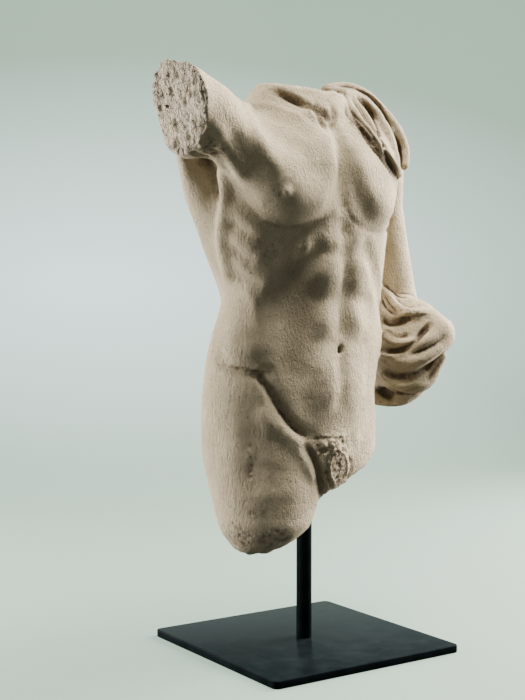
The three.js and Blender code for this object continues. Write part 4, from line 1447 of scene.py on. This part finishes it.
@dataclass
class Stand:
    """The steel plate and the round post that hold the cast up."""

    coat: bpy.types.Material
    corner_radius: float = 0.009
    corner_facets: int = 10
    edge_rounding: float = 0.0012
    edge_facets: int = 4
    post_sides: int = 96
    post_rounding: float = 0.0006
    post_facets: int = 2
    smooth_below: float = math.radians(35)

    def plate(self) -> bpy.types.Object:
        """Make the plate and return it."""
        low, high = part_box("base_plate")
        bpy.ops.mesh.primitive_cube_add(size=1, location=(low + high) / 2)
        piece = bpy.context.active_object
        piece.name = "plate"
        piece.scale = high - low
        work_on(piece)
        bpy.ops.object.transform_apply(location=True, rotation=True, scale=True)
        self._round_edges(piece, self.corner_radius, self.corner_facets, upright=True)
        self._round_edges(piece, self.edge_rounding, self.edge_facets, upright=False)
        return self._finish(piece, "base_plate")

    def post(self) -> bpy.types.Object:
        """Make the post and return it."""
        low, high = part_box("post")
        bpy.ops.mesh.primitive_cylinder_add(
            vertices=self.post_sides, radius=(high.x - low.x) / 2, depth=high.z - low.z,
            location=(low + high) / 2)
        piece = bpy.context.active_object
        piece.name = "rod"
        work_on(piece)
        bpy.ops.object.transform_apply(location=True, rotation=True, scale=True)
        apply_modifier(piece, "BEVEL", width=self.post_rounding, segments=self.post_facets,
                       limit_method="ANGLE")
        return self._finish(piece, "post")

    @staticmethod
    def _round_edges(piece: bpy.types.Object, radius: float, segments: int, upright: bool) -> None:
        """Round a plate's upright edges, or the edges round its faces.

        Args:
            piece: The plate.
            radius: The rounding's radius, in metres.
            segments: How many facets it has.
            upright: Whether the upright edges are rounded, not those of the faces.
        """
        mesh = bmesh.new()
        mesh.from_mesh(piece.data)
        chosen = []
        for edge in mesh.edges:
            rise = abs(edge.verts[0].co.z - edge.verts[1].co.z)
            flat = max(abs(face.normal.z) for face in edge.link_faces)
            level = min(abs(face.normal.z) for face in edge.link_faces)
            if (rise > MM) if upright else (rise < SMALL and flat > 0.9 and level < 0.1):
                chosen.append(edge)
        bmesh.ops.bevel(mesh, geom=chosen, offset=radius, segments=segments, profile=0.5, affect="EDGES")
        mesh.to_mesh(piece.data)
        mesh.free()

    def _finish(self, piece: bpy.types.Object, node: str) -> bpy.types.Object:
        """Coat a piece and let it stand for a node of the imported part."""
        work_on(piece)
        bpy.ops.object.shade_smooth_by_angle(angle=self.smooth_below)
        piece.data.materials.clear()
        piece.data.materials.append(self.coat)
        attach(piece, "root")
        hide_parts(node)
        return piece


@dataclass(frozen=True)
class Paper:
    """Pale grey-green background paper that glows by itself, a painted pool of light brightest round one
    spot.
    """

    colour: Colour = (0.105, 0.14, 0.12, 1)
    near: Colour = (1.38, 1.74, 1.72, 1)
    far: Colour = (0.45, 0.64, 0.485, 1)
    upright_stretch: float = 2.6
    reach: float = 2.0
    rough: float = 0.75

    def build(self, spot: Vector) -> bpy.types.Material:
        """Make the material and return it.

        Args:
            spot: Where the paper is brightest.

        Returns:
            The material.
        """
        nodes = Nodes.of("backdrop")
        places = nodes.places((1.0, 1.0, self.upright_stretch))
        middle = (spot.x, spot.y, spot.z * self.upright_stretch)
        away = nodes.add("ShaderNodeVectorMath", {0: places, 1: middle}, operation="DISTANCE")
        share = nodes.ramp(away.outputs["Value"], 0.0, self.reach)
        nodes.shader.inputs["Base Color"].default_value = self.colour
        nodes.shader.inputs["Roughness"].default_value = self.rough
        # Painted light: the paper glows, brightest round the spot and dimmer away from it
        nodes.shader.inputs["Emission Strength"].default_value = 1.0
        nodes.feed(nodes.shader.inputs["Emission Color"], nodes.mix(share, self.near, self.far))
        return nodes.material


@dataclass(frozen=True)
class Lamp:
    """A soft studio light, placed by how far it is from the cast's middle, in metres.

    Rightward and forward are in the camera's view, and forward is towards the camera.
    """

    name: str
    rightward: float
    forward: float
    upward: float
    width: float
    height: float
    power: float
    colour: tuple[float, float, float]


@dataclass(frozen=True)
class Studio:
    """The floor, the backdrop and the lights, in metres."""

    view: View
    aim: Point = (0.0, 0.0, 0.42)
    backdrop_behind: float = 2.6
    backdrop_height: float = 3.4
    half_width: float = 6.0
    floor_front: float = -3.0
    bend: float = 0.9
    bend_facets: int = 12
    glow_right: float = -0.64
    glow_height: float = 0.5
    sky: Colour = (0.72, 0.82, 0.80, 1)
    sky_strength: float = 0.07
    lamps: Sequence[Lamp] = (
        Lamp("right strip", 1.32, -0.86, 0.45, 1.0, 1.8, 222, (1.0, 0.955, 0.89)),
        Lamp("left strip", -1.45, -0.36, 0.0, 1.2, 1.5, 108, (1.0, 0.98, 0.94)),
        Lamp("top", 0.56, 0.14, 1.74, 0.8, 0.7, 91, (1.0, 0.965, 0.91)),
        Lamp("fill", 0.0, 1.7, -0.30, 1.6, 0.6, 4.5, (0.98, 1.0, 0.96)),
    )

    def build(self) -> None:
        """Make the floor, the backdrop and the lights."""
        self._sweep()
        for lamp in self.lamps:
            self._light(lamp)
        world = bpy.data.worlds.new("studio")
        world.use_nodes = True
        sky = world.node_tree.nodes["Background"]
        sky.inputs["Color"].default_value = self.sky
        sky.inputs["Strength"].default_value = self.sky_strength
        bpy.context.scene.world = world

    def _sweep(self) -> None:
        """Make a floor that curves up into a backdrop behind the cast."""
        across, away = self.view.right, -self.view.level
        bend_start = self.backdrop_behind - self.bend
        profile = [(self.floor_front, 0.0), (bend_start, 0.0)]
        for step in range(1, self.bend_facets + 1):
            angle = step / self.bend_facets * math.pi / 2
            profile.append((bend_start + self.bend * math.sin(angle),
                            self.bend - self.bend * math.cos(angle)))
        profile.append((self.backdrop_behind, self.backdrop_height))
        corners = [away * gone + Vector((0, 0, rise)) + across * side
                   for gone, rise in profile for side in (-self.half_width, self.half_width)]
        faces = [(2 * i, 2 * i + 1, 2 * i + 3, 2 * i + 2) for i in range(len(profile) - 1)]
        mesh = bpy.data.meshes.new("backdrop")
        mesh.from_pydata(corners, [], faces)
        mesh.shade_smooth()
        backdrop = add_object("backdrop", mesh)
        glow = across * self.glow_right + away * self.backdrop_behind + Vector((0, 0, self.glow_height))
        mesh.materials.append(Paper().build(glow))
        backdrop.visible_diffuse = False

    def _light(self, lamp: Lamp) -> None:
        """Hang one lamp and turn it to the cast."""
        data = bpy.data.lights.new(lamp.name, "AREA")
        data.shape, data.size, data.size_y = "RECTANGLE", lamp.width, lamp.height
        data.energy, data.color = lamp.power, lamp.colour
        light = add_object(lamp.name, data)
        way = self.view.right * lamp.rightward + self.view.level * lamp.forward
        way += Vector((0, 0, lamp.upward))
        light.location = Vector(self.aim) + way
        light.rotation_euler = way.to_track_quat("Z", "Y").to_euler()


def main() -> None:
    """Build the cast, its stand and the studio."""
    logging.basicConfig(level=logging.INFO, format="%(name)s: %(message)s")
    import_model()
    view = View()
    view.build()
    cast = Cast(Figure(), Setting(), view, strokes=STROKES, lumps=(*LUMPS, *PATCHES)).build()
    log.info("cast: %d faces", len(cast.data.polygons))
    stand = Stand(BlackCoat().build())
    for piece in (stand.plate(), stand.post()):
        log.info("%s: %d faces", piece.name, len(piece.data.polygons))
    Studio(view).build()
    log.info("studio is set")


if __name__ == "__main__":
    main()
